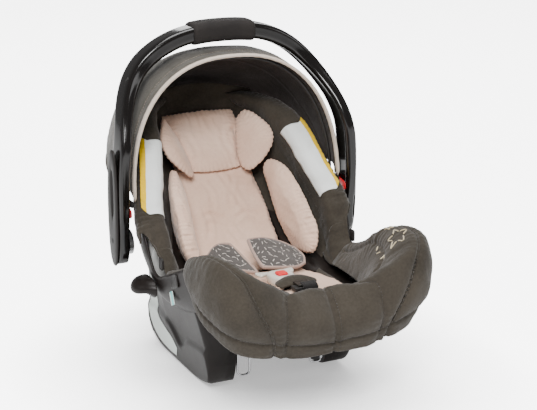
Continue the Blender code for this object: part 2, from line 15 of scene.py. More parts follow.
import bmesh
import bpy
import numpy as np
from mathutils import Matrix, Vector


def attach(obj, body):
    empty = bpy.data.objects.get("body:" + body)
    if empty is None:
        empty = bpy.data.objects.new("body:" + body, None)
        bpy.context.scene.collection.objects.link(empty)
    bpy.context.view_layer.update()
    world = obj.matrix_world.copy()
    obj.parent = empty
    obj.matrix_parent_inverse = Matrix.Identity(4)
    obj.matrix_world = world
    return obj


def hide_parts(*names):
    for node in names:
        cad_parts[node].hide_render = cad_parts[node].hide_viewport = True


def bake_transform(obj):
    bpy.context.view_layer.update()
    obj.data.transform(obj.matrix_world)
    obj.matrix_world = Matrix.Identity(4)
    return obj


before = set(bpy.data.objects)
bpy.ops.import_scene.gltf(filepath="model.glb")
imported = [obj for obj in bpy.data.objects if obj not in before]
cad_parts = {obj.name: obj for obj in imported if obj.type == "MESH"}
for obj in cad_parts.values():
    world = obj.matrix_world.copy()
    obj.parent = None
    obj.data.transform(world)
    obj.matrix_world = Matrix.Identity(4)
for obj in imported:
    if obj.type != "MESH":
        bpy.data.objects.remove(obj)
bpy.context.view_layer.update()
LOG = logging.getLogger("car_seat")

MM = 0.001
DATUM_SHIFT = 16.0
PIVOT_Y = 42.0
PIVOT_Z = 215.0
SIDES = (("left", -1.0), ("right", 1.0))
Array = np.ndarray
Piece = bpy.types.Object
Socket = bpy.types.NodeSocket


# ---- geometry tools


def metres(points: Array) -> Array:
    """Turn millimetres from the datum into metres in the frame.

    Args:
        points: array whose last axis is x, y, z.

    Returns:
        The same array, moved by the datum's shift and scaled.
    """
    return (np.asarray(points, float) + (0.0, DATUM_SHIFT, 0.0)) * MM


def spline(rows: Array, at: Array) -> Array:
    """Catmull-Rom curve through rows, where whole parameters are the rows themselves.

    Args:
        rows: array of knots, one row each.
        at: parameters from 0 to the number of rows less one.

    Returns:
        One row for each parameter.
    """
    rows = np.asarray(rows, float)
    flat = rows.reshape(len(rows), -1)
    ends = np.vstack([2 * flat[0] - flat[1], flat, 2 * flat[-1] - flat[-2]])
    at = np.atleast_1d(np.asarray(at, float))
    low = np.clip(np.floor(at).astype(int), 0, len(flat) - 2)
    part = (at - low)[:, None]
    p0, p1, p2, p3 = (ends[low + k] for k in range(4))
    curve = 0.5 * (2 * p1 + (p2 - p0) * part + (2 * p0 - 5 * p1 + 4 * p2 - p3) * part**2
                   + (3 * p1 - p0 - 3 * p2 + p3) * part**3)
    return curve.reshape((len(at),) + rows.shape[1:])


def resample(rows: Array, count: int) -> Array:
    """Points at even parameters on the curve through rows."""
    return spline(rows, np.linspace(0, len(rows) - 1, count))


def bump(value: Array, centre: float, width: float) -> Array:
    """A smooth hill: one at centre, falling away over width."""
    return np.exp(-(((value - centre) / width) ** 2))


def ramp(value: Array, low: float, high: float) -> Array:
    """A smooth step from zero at low to one at high."""
    part = np.clip((value - low) / (high - low), 0, 1)
    return part * part * (3 - 2 * part)


def powered(value: Array, power: float) -> Array:
    """The value's size raised to a power, with its sign kept."""
    return np.sign(value) * np.abs(value) ** power


def ripple(points: Array, wavelength: float, seed: int, stretch: tuple = (1, 1, 1)) -> Array:
    """Soft irregular relief: a sum of sine waves in seeded directions, about -1 to 1.

    Args:
        points: array whose last axis is x, y, z in millimetres.
        wavelength: mean distance between crests.
        seed: picks the directions and phases.
        stretch: how far each axis is stretched before the waves are laid on it.

    Returns:
        One number for each point.
    """
    draw = np.random.default_rng(seed)
    directions = draw.normal(size=(9, 3))
    directions /= np.linalg.norm(directions, axis=1)[:, None]
    scale = 2 * math.pi / (wavelength * draw.uniform(0.6, 1.7, 9))
    phase = draw.uniform(0, 2 * math.pi, 9)
    waves = (points / np.asarray(stretch, float)) @ (directions * scale[:, None]).T + phase
    return np.sin(waves).sum(axis=-1) / 4.5


def grid_normals(grid: Array) -> Array:
    """Unit normals of a grid: the step across crossed with the step along."""
    normal = np.cross(np.gradient(grid, axis=1), np.gradient(grid, axis=0))
    length = np.linalg.norm(normal, axis=2)[:, :, None]
    return normal / np.maximum(length, 1e-9)


def facing(grid: Array, row: int, column: int, way: tuple | Array) -> float:
    """Sign that makes the grid's normals point that way, read at one of its points."""
    return 1.0 if grid_normals(grid)[row, column] @ way > 0 else -1.0


def displaced(grid: Array, distance: Array, sign: float = 1.0) -> Array:
    """The grid moved along its own normals by distance times sign."""
    return grid + grid_normals(grid) * (distance * sign)[:, :, None]


def grid_uv(grid: Array) -> Array:
    """Lengths along and across the cloth in metres, as a flat map of the grid.

    Args:
        grid: the sheet's points.

    Returns:
        Two columns, one row for each point.
    """
    across = np.linalg.norm(np.diff(grid, axis=1), axis=2).mean(axis=0)
    along = np.linalg.norm(np.diff(grid, axis=0), axis=2).mean(axis=1)
    u = np.concatenate([[0], np.cumsum(across)]) * MM
    v = np.concatenate([[0], np.cumsum(along)]) * MM
    return np.stack(np.meshgrid(u, v), axis=2)


def quads(rows: int, columns: int, wrap: bool = False) -> Array:
    """Corner indices of the quads of a grid, closed across when wrap is set.

    Args:
        rows: points along.
        columns: points across.
        wrap: whether the last column joins the first.

    Returns:
        Four indices for each quad.
    """
    index = np.arange(rows * columns).reshape(rows, columns)
    if wrap:
        index = np.concatenate([index, index[:, :1]], axis=1)
    corners = (index[:-1, :-1], index[:-1, 1:], index[1:, 1:], index[1:, :-1])
    return np.stack([corner.ravel() for corner in corners], axis=1)


def border_of(rows: int, columns: int) -> tuple[Array, Array]:
    """Point indices round a grid's border in order, and the index that follows each."""
    index = np.arange(rows * columns).reshape(rows, columns)
    border = np.concatenate([index[0, :-1], index[:-1, -1], index[-1, :0:-1], index[:0:-1, 0]])
    return border, np.roll(border, -1)


def mesh_from(name: str, points: Array, faces: Array, uv: Array | None = None) -> Piece:
    """Put points and four-cornered faces into a new smooth mesh object.

    Args:
        name: the piece's name.
        points: n by 3 points in metres.
        faces: m by 4 corner indices; a triangle repeats its last corner.
        uv: optional map coordinate for each point.

    Returns:
        The new object, at the origin.
    """
    mesh = bpy.data.meshes.new(name)
    sizes = np.where(faces[:, 2] == faces[:, 3], 3, 4)
    in_use = np.concatenate([np.ones((len(faces), 3), bool), (sizes == 4)[:, None]], axis=1)
    kept = faces[in_use]
    mesh.vertices.add(len(points))
    mesh.vertices.foreach_set("co", np.asarray(points, np.float32).ravel())
    mesh.loops.add(len(kept))
    mesh.loops.foreach_set("vertex_index", kept.astype(np.int32))
    mesh.polygons.add(len(faces))
    mesh.polygons.foreach_set("loop_start", np.concatenate([[0], np.cumsum(sizes)[:-1]]).astype(np.int32))
    mesh.polygons.foreach_set("use_smooth", np.ones(len(faces), bool))
    mesh.update(calc_edges=True)
    if uv is not None:
        layer = mesh.uv_layers.new(name="cloth")
        layer.data.foreach_set("uv", np.asarray(uv, np.float32)[kept].ravel())
    obj = bpy.data.objects.new(name, mesh)
    bpy.context.scene.collection.objects.link(obj)
    return obj


def skin(name: str, grid: Array, flip: bool = False) -> Piece:
    """An open sheet through a grid of millimetre points, with its cloth map.

    Args:
        name: the piece's name.
        grid: its points.
        flip: whether its faces are turned over.

    Returns:
        The sheet.
    """
    faces = quads(*grid.shape[:2])
    if flip:
        faces = faces[:, ::-1]
    return mesh_from(name, metres(grid.reshape(-1, 3)), faces, grid_uv(grid).reshape(-1, 2))


def loft(name: str, rings: Array, caps: bool = True) -> Piece:
    """A closed body through rings of points, each end closed by a fan to its middle.

    Args:
        name: the piece's name.
        rings: array of rings, points and coordinates in millimetres.
        caps: whether the two ends are closed.

    Returns:
        The new object, with its faces turned outwards.
    """
    rings = np.asarray(rings, float)
    count, around = rings.shape[:2]
    faces = quads(count, around, wrap=True)
    points = rings.reshape(-1, 3)
    if caps:
        middle = np.arange(around)
        nxt = np.roll(middle, -1)
        first = np.column_stack([middle, nxt, np.full((around, 2), len(points))])
        start = (count - 1) * around
        last = np.column_stack([start + nxt, start + middle, np.full((around, 2), len(points) + 1)])
        points = np.vstack([points, rings[0].mean(axis=0), rings[-1].mean(axis=0)])
        faces = np.vstack([faces, first[:, [1, 0, 2, 3]], last[:, [1, 0, 2, 3]]])
    obj = mesh_from(name, metres(points), faces)
    outwards(obj)
    return obj


def outwards(obj: Piece) -> None:
    """Turn a closed mesh's faces to point out.

    Args:
        obj: the piece.
    """
    work = bmesh.new()
    work.from_mesh(obj.data)
    bmesh.ops.recalc_face_normals(work, faces=work.faces)
    work.to_mesh(obj.data)
    work.free()


def rounded(count: int, power: float) -> tuple[Array, Array]:
    """Cosine and sine of a superellipse with that power, at count even angles."""
    angle = np.linspace(0, 2 * math.pi, count, endpoint=False)
    return powered(np.cos(angle), 2 / power), powered(np.sin(angle), 2 / power)


def carried(path: Array, side: Array, widths: Array, depths: Array, power: float, count: int) -> Array:
    """Rings of a superellipse carried along a path.

    Args:
        path: points of the middle line.
        side: the direction of the section's width, one row or one for each point.
        widths: half width at each point.
        depths: half depth at each point.
        power: squareness of the section, 2 for an ellipse.
        count: points in each ring.

    Returns:
        Array of rings: middle plus width times cosine along side plus depth times sine across it.
    """
    path = np.asarray(path, float)
    run = np.gradient(path, axis=0)
    run /= np.linalg.norm(run, axis=1)[:, None]
    side = np.broadcast_to(np.asarray(side, float), path.shape)
    side = side - run * (side * run).sum(axis=1)[:, None]
    side = side / np.linalg.norm(side, axis=1)[:, None]
    up = np.cross(run, side)
    cos, sin = rounded(count, power)
    wide = (side[:, None, :] * cos[None, :, None]) * np.asarray(widths, float)[:, None, None]
    deep = (up[:, None, :] * sin[None, :, None]) * np.asarray(depths, float)[:, None, None]
    return path[:, None, :] + wide + deep


def tapered_ends(count: int, share: float) -> Array:
    """Scale along a body whose two ends are rounded over that share of its length."""
    part = np.linspace(0, 1, count)
    near = np.minimum(part, 1 - part) / share
    return np.sqrt(np.clip(1 - (1 - np.clip(near, 0, 1)) ** 2, 0.0025, 1))


def round_bar(name: str, path: Array, radius: float, count: int = 14) -> Piece:
    """A round bar or cord along a path, with rounded ends.

    Args:
        name: the piece's name.
        path: points of its middle line.
        radius: its radius.
        count: points round it.

    Returns:
        The bar.
    """
    path = np.asarray(path, float)
    scale = tapered_ends(len(path), 1.2 / len(path)) * radius
    run = np.gradient(path, axis=0)
    helper = np.where(np.abs(run[:, 2:3]) > 0.9 * np.linalg.norm(run, axis=1)[:, None], (1, 0, 0), (0, 0, 1))
    return loft(name, carried(path, np.cross(run, helper), scale, scale, 2.0, count))


def nearest(points: Array, line: Array) -> tuple[Array, Array]:
    """Distance from each point to a dense line of points, and how far along the line it is.

    Args:
        points: array whose last axis is x, y, z.
        line: points along the seam.

    Returns:
        Distances and lengths along the line, in the shape of points without its last axis.
    """
    flat = points.reshape(-1, 3)
    length = np.concatenate([[0], np.cumsum(np.linalg.norm(np.diff(line, axis=0), axis=1))])
    square = (flat**2).sum(axis=1)[:, None] + (line**2).sum(axis=1)[None, :] - 2 * flat @ line.T
    best = square.argmin(axis=1)
    distance = np.sqrt(np.maximum(square[np.arange(len(flat)), best], 0))
    return distance.reshape(points.shape[:-1]), length[best].reshape(points.shape[:-1])


@dataclass
class Seam:
    """A sewn line on a soft piece, which pulls the cloth in and puckers it."""

    line: Array
    depth: float = 4.0
    width: float = 3.0
    reach: float = 26.0
    puff: float = 4.0
    pucker: float = 0.7
    pitch: float = 11.0


def sewn(points: Array, seams: list[Seam], seed: int = 1) -> Array:
    """How far each point stands out: puffed away from the seams, pulled in on them.

    Each seam gives puff times tanh(distance over reach), less depth times a narrow hill on the
    line, plus puckers that fade with distance. The least puff of all the seams is taken.

    Args:
        points: array of points in millimetres.
        seams: the sewn lines.
        seed: picks the puckers.

    Returns:
        A height for each point.
    """
    puff = np.full(points.shape[:-1], np.inf)
    extra = np.zeros(points.shape[:-1])
    for number, seam in enumerate(seams):
        distance, along = nearest(points, seam.line)
        puff = np.minimum(puff, seam.puff * np.tanh(distance / seam.reach))
        extra -= seam.depth * np.exp(-((distance / seam.width) ** 2))
        beat = np.sin(along * 2 * math.pi / seam.pitch + 1.7 * np.sin(along / 17.0 + seed + number))
        extra += seam.pucker * beat * np.exp(-distance / (1.6 * seam.pitch)) * np.tanh(distance / seam.width)
    return np.where(np.isfinite(puff), puff, 0) + extra


def stitches(name: str, line: Array, out: Array, length: float = 2.6, gap: float = 1.6,
             radius: float = 0.42, lift: float = 0.25) -> Piece:
    """A row of thread stitches: short capsules along a line, each lying on the cloth.

    Args:
        name: the piece's name.
        line: points of the sewn line.
        out: the cloth's normal at each point.
        length: length of one stitch.
        gap: length between two stitches.
        radius: the thread's radius.
        lift: how far the thread's middle stands off the line.

    Returns:
        One object that holds every stitch.
    """
    run = np.linalg.norm(np.diff(line, axis=0), axis=1)
    total = np.concatenate([[0], np.cumsum(run)])
    starts = np.arange(gap / 2, total[-1] - length, length + gap)
    rings = []

    def read(rows: Array, at: Array) -> Array:
        """Rows of the line's points or normals at lengths along it."""
        return np.column_stack([np.interp(at, total, rows[:, axis]) for axis in range(3)])

    for share, scale in ((0.0, 0.35), (0.2, 1.0), (0.8, 1.0), (1.0, 0.35)):
        at = starts + share * length
        middle, rise = read(line, at), read(out, at)
        rise /= np.linalg.norm(rise, axis=1)[:, None]
        side = np.cross(read(line, at + 0.5) - read(line, at - 0.5), rise)
        side /= np.maximum(np.linalg.norm(side, axis=1), 1e-9)[:, None]
        angle = np.linspace(0, 2 * math.pi, 6, endpoint=False)
        ring = (side[:, None] * np.cos(angle)[None, :, None] + rise[:, None] * np.sin(angle)[None, :, None])
        arch = 0.3 if scale == 1.0 else -0.1
        rings.append(middle[:, None] + rise[:, None] * (lift + arch) + ring * radius * scale)
    block = np.stack(rings, axis=1)
    count = len(starts)
    caps = ((0, 5, 4, 3), (0, 3, 2, 1), (18, 19, 20, 21), (18, 21, 22, 23))
    one = np.vstack([quads(4, 6, wrap=True), caps])
    faces = (one[None] + 24 * np.arange(count)[:, None, None]).reshape(-1, 4)
    obj = mesh_from(name, metres(block.reshape(-1, 3)), faces)
    outwards(obj)
    return obj


def add_wall(obj: Piece, thickness: float, side: float) -> None:
    """Give an open sheet its thickness in millimetres, on the side given by -1, 0 or 1."""
    wall = obj.modifiers.new("wall", "SOLIDIFY")
    wall.thickness = thickness * MM
    wall.offset = side
    wall.use_rim = True


def evaluated(obj: Piece) -> bpy.types.Mesh:
    """The mesh with its modifiers applied, of which the object then has none."""
    graph = bpy.context.evaluated_depsgraph_get()
    mesh = bpy.data.meshes.new_from_object(obj.evaluated_get(graph))
    obj.modifiers.clear()
    return mesh


def per_point(mesh: bpy.types.Mesh, value: str) -> Array:
    """A vector of each of the mesh's points: "co" or "normal"."""
    values = np.zeros(len(mesh.vertices) * 3, np.float32)
    mesh.vertices.foreach_get(value, values)
    return values.reshape(-1, 3)


def inflate(obj: Piece, voxel: float, pressure: float, cap: float) -> None:
    """Fill a closed pad by cloth simulation and keep the result as its mesh.

    The pad is remeshed, pushed out by an inner pressure for 20 steps with no gravity, and no
    point is let go further than the cap from where it began.

    Args:
        obj: the pad, whose mesh is replaced.
        voxel: size of the new mesh in metres.
        pressure: inner pressure of the cloth.
        cap: furthest move of any point in metres.
    """
    scene = bpy.context.scene
    remesh = obj.modifiers.new("even", "REMESH")
    remesh.mode = "VOXEL"
    remesh.voxel_size = voxel
    remesh.use_smooth_shade = True
    mesh = evaluated(obj)
    obj.data = mesh
    start = per_point(mesh, "co")
    cloth = obj.modifiers.new("fill", "CLOTH")
    cloth.settings.use_pressure = True
    cloth.settings.uniform_pressure_force = pressure
    cloth.settings.effector_weights.gravity = 0.0
    cloth.settings.quality = 4
    cloth.settings.mass = 0.3
    cloth.point_cache.frame_start = 1
    cloth.point_cache.frame_end = 20
    for step in range(1, 21):
        scene.frame_set(step)
    move = per_point(evaluated(obj), "co") - start
    scene.frame_set(1)
    size = np.linalg.norm(move, axis=1)[:, None]
    move *= np.minimum(1, cap / np.maximum(size, 1e-9))
    mesh.vertices.foreach_set("co", (start + move).astype(np.float32).ravel())
    mesh.update()


def relief(obj: Piece, height: Callable[[Array], Array], subdivide: int = 0) -> None:
    """Move a finished mesh's points along their normals.

    Args:
        obj: the piece.
        height: function from points in datum millimetres to millimetres of height.
        subdivide: rounds of subdivision applied first.
    """
    if subdivide:
        soft = obj.modifiers.new("soft", "SUBSURF")
        soft.levels = subdivide
        soft.render_levels = subdivide
        obj.data = evaluated(obj)
    mesh = obj.data
    points = per_point(mesh, "co").astype(float)
    normals = per_point(mesh, "normal")
    local = points / MM - (0.0, DATUM_SHIFT, 0.0)
    moved = points + normals * (np.asarray(height(local)) * MM)[:, None]
    mesh.vertices.foreach_set("co", moved.astype(np.float32).ravel())
    mesh.polygons.foreach_set("use_smooth", np.ones(len(mesh.polygons), bool))
    mesh.update()


# ---- finishes


def linear(red: int, green: int, blue: int) -> tuple[float, float, float, float]:
    """Turn a screen colour from 0 to 255 into the linear colour that shaders take."""
    shares = [value / 255 for value in (red, green, blue)]
    return (*[share / 12.92 if share <= 0.04045 else ((share + 0.055) / 1.055) ** 2.4
              for share in shares], 1.0)


class Nodes:
    """Adds nodes to one tree and joins them."""

    def __init__(self, tree: bpy.types.NodeTree) -> None:
        """Work on that tree."""
        self.tree = tree

    def add(self, kind: str, settings: dict | None = None, **inputs: object) -> bpy.types.Node:
        """Add a node and fill its inputs.

        Args:
            kind: the node's type.
            settings: attributes of the node, such as its operation.
            inputs: values or sockets by input name, with spaces written as underscores; a name
                such as in0 stands for the input at that place.

        Returns:
            The new node.
        """
        node = self.tree.nodes.new(kind)
        for name, value in (settings or {}).items():
            setattr(node, name, value)
        for name, value in inputs.items():
            socket = node.inputs[int(name[2:])] if name[:2] == "in" and name[2:].isdigit() \
                else node.inputs[name.replace("_", " ")]
            if isinstance(value, Socket):
                self.tree.links.new(value, socket)
            else:
                socket.default_value = value
        return node

    def sum(self, kind: str, *values: object) -> Socket:
        """The result of a Math node of that kind on one to three values."""
        node = self.add("ShaderNodeMath", {"operation": kind},
                        **{f"in{place}": value for place, value in enumerate(values)})
        return node.outputs[0]

    def mix(self, factor: object, first: object, second: object) -> Socket:
        """A colour between two colours."""
        node = self.add("ShaderNodeMix", {"data_type": "RGBA"}, in0=factor, in6=first, in7=second)
        return node.outputs[2]

    def noise(self, place: object, scale: object, detail: float, **more: object) -> Socket:
        """Value of fractal noise at a place."""
        node = self.add("ShaderNodeTexNoise", Vector=place, Scale=scale, Detail=detail, **more)
        return node.outputs["Fac"]

    def bump(self, strength: float, distance: float, height: object,
             **more: object) -> Socket:
        """Normal bent by a height, whose full range is the distance in metres."""
        return self.add("ShaderNodeBump", Strength=strength, Distance=distance, Height=height,
                        **more).outputs[0]

    def feed(self, shader: bpy.types.Node, **sockets: Socket) -> None:
        """Link values to the shader's inputs, named with underscores for spaces."""
        for name, value in sockets.items():
            self.tree.links.new(value, shader.inputs[name.replace("_", " ")])


class Effect(Enum):
    """Surface effects that several finishes share."""

    WEAVE = "cloth_weave"
    MOTTLE = "soft_mottle"
    GRAIN = "moulded_grain"
    WEAR = "edge_wear"


def effect_group(effect: Effect) -> bpy.types.NodeTree:
    """The node group of an effect, built the first time that it is asked for.

    Args:
        effect: which effect.

    Returns:
        Its node group.
    """
    if effect.value in bpy.data.node_groups:
        return bpy.data.node_groups[effect.value]
    group = bpy.data.node_groups.new(effect.value, "ShaderNodeTree")
    face = group.interface
    needs = {Effect.WEAVE: ("Threads",), Effect.MOTTLE: ("Patches", "Specks"),
             Effect.GRAIN: ("Scale",), Effect.WEAR: ("Edge", "Scale")}[effect]
    face.new_socket("Place", in_out="INPUT", socket_type="NodeSocketVector")
    for name in needs:
        face.new_socket(name, in_out="INPUT", socket_type="NodeSocketFloat")
    face.new_socket("Value", in_out="OUTPUT", socket_type="NodeSocketFloat")
    nodes = Nodes(group)
    given = nodes.add("NodeGroupInput").outputs
    result = {Effect.WEAVE: weave_value, Effect.MOTTLE: mottle_value, Effect.GRAIN: grain_value,
              Effect.WEAR: wear_value}[effect](nodes, given)
    nodes.add("NodeGroupOutput", Value=result)
    return group


def weave_value(nodes: Nodes, given: object) -> Socket:
    """Height of a plain weave: warp and weft sines, each on top in turn."""
    warp, weft = (nodes.add("ShaderNodeTexWave", {"bands_direction": way}, Vector=given["Place"],
                            Scale=given["Threads"], Distortion=0.6, Detail=1.0).outputs["Fac"]
                  for way in "XY")
    return nodes.sum("MULTIPLY", warp, weft)


def mottle_value(nodes: Nodes, given: object) -> Socket:
    """Wide soft patches with finer specks laid over them."""
    wide = nodes.sum("MULTIPLY", nodes.noise(given["Place"], given["Patches"], 3.0), 0.75)
    mixed = nodes.sum("MULTIPLY_ADD", nodes.noise(given["Place"], given["Specks"], 4.0), 0.45, wide)
    node = nodes.add("ShaderNodeMapRange", Value=mixed, From_Min=0.42, From_Max=0.78)
    return node.outputs["Result"]


def grain_value(nodes: Nodes, given: object) -> Socket:
    """Moulded leather-like grain: rounded cells with fine noise on top."""
    cells = nodes.add("ShaderNodeTexVoronoi", {"feature": "SMOOTH_F1"}, Vector=given["Place"],
                      Scale=given["Scale"])
    fine = nodes.noise(given["Place"], given["Scale"], 2.0)
    return nodes.sum("MULTIPLY_ADD", fine, 0.6, cells.outputs["Distance"])


def wear_value(nodes: Nodes, given: object) -> Socket:
    """Edges rubbed lighter: the convex edge value, broken up by noise."""
    edge = nodes.add("ShaderNodeMapRange", Value=given["Edge"], From_Min=0.53, From_Max=0.66)
    return nodes.sum("MULTIPLY", edge.outputs["Result"],
                     nodes.noise(given["Place"], given["Scale"], 3.0))


def apply_effect(nodes: Nodes, effect: Effect, **inputs: object) -> Socket:
    """Place an effect's group in a material.

    Args:
        nodes: the material's tree.
        effect: which effect.
        inputs: its values.

    Returns:
        The value that it puts out.
    """
    return nodes.add("ShaderNodeGroup", {"node_tree": effect_group(effect)}, **inputs).outputs[0]


def new_material(name: str, values: dict) -> tuple[bpy.types.Material, Nodes, bpy.types.Node]:
    """A material with a Principled BSDF and its constant values set on its own sockets.

    Args:
        name: the material's name.
        values: constant inputs of the shader.

    Returns:
        The material, its tree's helper and the shader.
    """
    material = bpy.data.materials.new(name)
    material.use_nodes = True
    nodes = Nodes(material.node_tree)
    shader = material.node_tree.nodes["Principled BSDF"]
    for key, value in values.items():
        shader.inputs[key].default_value = value
    return material, nodes, shader


class Place(Enum):
    """Where a pattern is laid: on the object, or on the piece's own cloth map."""

    OBJECT = "Object"
    CLOTH = "UV"


@dataclass(frozen=True)
class FabricFinish:
    """Woven or brushed cloth, lighter where the nap is rubbed."""

    name: str
    colour: tuple
    second: tuple
    place: Place = Place.OBJECT
    threads: float = 330.0
    weave: float = 0.35
    sheen: float = 0.35
    patches: float = 14.0
    specks: float = 260.0
    creases: float = 0.6
    roughness: float = 0.95

    def build(self) -> bpy.types.Material:
        """Make the material: mottled nap, weave and fine creases in the normal."""
        material, nodes, shader = new_material(self.name, {
            "Roughness": self.roughness, "Sheen Weight": self.sheen, "Sheen Roughness": 0.45,
            "Specular IOR Level": 0.25})
        coordinates = nodes.add("ShaderNodeTexCoord").outputs
        solid = coordinates["Object"]
        mottle = apply_effect(nodes, Effect.MOTTLE, Place=solid, Patches=self.patches,
                              Specks=self.specks)
        weave = apply_effect(nodes, Effect.WEAVE, Place=coordinates[self.place.value],
                             Threads=self.threads)
        colour = nodes.mix(mottle, linear(*self.colour), linear(*self.second))
        shade = nodes.sum("MULTIPLY_ADD", weave, 0.22, 0.86)
        deep = nodes.add("ShaderNodeMix", {"data_type": "RGBA", "blend_type": "MULTIPLY"}, in0=1.0,
                         in6=colour, in7=shade).outputs[2]
        soft = nodes.bump(self.creases, 0.0016, nodes.noise(solid, 55.0, 3.0, Distortion=0.8),
                          Normal=nodes.bump(self.weave, 0.0004, weave))
        nodes.feed(shader, Base_Color=deep, Normal=soft)
        return material


@dataclass(frozen=True)
class PlasticFinish:
    """Moulded plastic, from fine matt grain to gloss, rubbed lighter along its edges."""

    name: str
    colour: tuple
    worn: tuple
    roughness: float
    grain: float = 0.25
    grain_scale: float = 900.0
    coat: float = 0.0
    specular: float = 0.5

    def build(self) -> bpy.types.Material:
        """Make the material: colour with edge wear, uneven gloss, and grain in the normal."""
        material, nodes, shader = new_material(self.name, {
            "Coat Weight": self.coat, "Coat Roughness": 0.08, "Specular IOR Level": self.specular})
        solid = nodes.add("ShaderNodeTexCoord").outputs["Object"]
        edge = nodes.add("ShaderNodeNewGeometry").outputs["Pointiness"]
        wear = apply_effect(nodes, Effect.WEAR, Place=solid, Edge=edge, Scale=60.0)
        grain = apply_effect(nodes, Effect.GRAIN, Place=solid, Scale=self.grain_scale)
        rough = nodes.sum("MULTIPLY_ADD", nodes.noise(solid, 18.0, 3.0), 0.14, self.roughness - 0.07)
        nodes.feed(shader, Base_Color=nodes.mix(wear, linear(*self.colour), linear(*self.worn)),
                   Roughness=rough, Normal=nodes.bump(self.grain, 0.0003, grain))
        return material


@dataclass(frozen=True)
class MetalFinish:
    """Bright or brushed metal with fine scratches."""

    name: str
    colour: tuple
    roughness: float

    def build(self) -> bpy.types.Material:
        """Make the material: metallic, with scratches that break the gloss."""
        material, nodes, shader = new_material(self.name, {"Metallic": 1.0, "Base Color": self.colour})
        solid = nodes.add("ShaderNodeTexCoord").outputs["Object"]
        turned = nodes.add("ShaderNodeMapping", Vector=solid, Scale=(60.0, 60.0, 900.0))
        scratch = nodes.noise(turned.outputs[0], 3.0, 4.0)
        nodes.feed(shader, Roughness=nodes.sum("MULTIPLY_ADD", scratch, 0.2, self.roughness),
                   Normal=nodes.bump(0.08, 0.0002, scratch))
        return material


@dataclass(frozen=True)
class FoamFinish:
    """Closed-cell foam with open pores."""

    name: str
    colour: tuple
    second: tuple
    pores: float = 700.0

    def build(self) -> bpy.types.Material:
        """Make the material: speckled colour, with pores pressed into the normal."""
        material, nodes, shader = new_material(self.name, {"Roughness": 0.88, "Specular IOR Level": 0.3})
        solid = nodes.add("ShaderNodeTexCoord").outputs["Object"]
        pores = nodes.add("ShaderNodeTexVoronoi", Vector=solid, Scale=self.pores)
        mottle = apply_effect(nodes, Effect.MOTTLE, Place=solid, Patches=30.0, Specks=900.0)
        nodes.feed(shader, Base_Color=nodes.mix(mottle, linear(*self.colour), linear(*self.second)),
                   Normal=nodes.bump(0.5, 0.0006, pores.outputs["Distance"]))
        return material


@dataclass(frozen=True)
class DashPrint:
    """Cloth with a scatter of short curved dashes printed on it."""

    name: str
    ground: tuple
    ink: tuple
    cells: float = 98.0
    length: float = 0.3
    width: float = 0.05

    def build(self) -> bpy.types.Material:
        """Make the material: each cell holds one dash, bent and turned by the cell's own number."""
        material, nodes, shader = new_material(self.name, {
            "Roughness": 0.9, "Sheen Weight": 0.25, "Specular IOR Level": 0.25})
        coordinates = nodes.add("ShaderNodeTexCoord").outputs
        cell = nodes.add("ShaderNodeTexVoronoi", {"voronoi_dimensions": "2D"}, Vector=coordinates["UV"],
                         Scale=self.cells, Randomness=0.85)
        scaled, centre = (nodes.add("ShaderNodeVectorMath", {"operation": "SCALE"}, Vector=place,
                                    Scale=self.cells).outputs[0]
                          for place in (coordinates["UV"], cell.outputs["Position"]))
        local = nodes.add("ShaderNodeVectorMath", {"operation": "SUBTRACT"}, in0=scaled, in1=centre)
        number = nodes.add("ShaderNodeSeparateColor", Color=cell.outputs["Color"]).outputs
        turn = nodes.sum("MULTIPLY", number["Red"], 2 * math.pi)
        turned = nodes.add("ShaderNodeVectorRotate", {"rotation_type": "Z_AXIS"},
                           Vector=local.outputs[0], Angle=turn)
        along = nodes.add("ShaderNodeSeparateXYZ", Vector=turned.outputs[0]).outputs
        bend = nodes.sum("MULTIPLY", nodes.sum("SUBTRACT", number["Green"], 0.5), 3.2)
        curve = nodes.sum("MULTIPLY", nodes.sum("MULTIPLY", along["X"], along["X"]), bend)
        off = nodes.sum("ABSOLUTE", nodes.sum("SUBTRACT", along["Y"], curve))
        thin = nodes.sum("LESS_THAN", off, self.width)
        short = nodes.sum("LESS_THAN", nodes.sum("ABSOLUTE", along["X"]), self.length)
        ink = nodes.sum("MULTIPLY", thin, short)
        mottle = apply_effect(nodes, Effect.MOTTLE, Place=coordinates["Object"], Patches=20.0, Specks=500.0)
        pale = linear(*self.ground)
        ground = nodes.mix(mottle, pale, tuple(0.75 * share for share in pale[:3]) + (1.0,))
        weave = apply_effect(nodes, Effect.WEAVE, Place=coordinates["UV"], Threads=330.0)
        nodes.feed(shader, Base_Color=nodes.mix(ink, ground, linear(*self.ink)),
                   Normal=nodes.bump(0.4, 0.0004, weave))
        return material


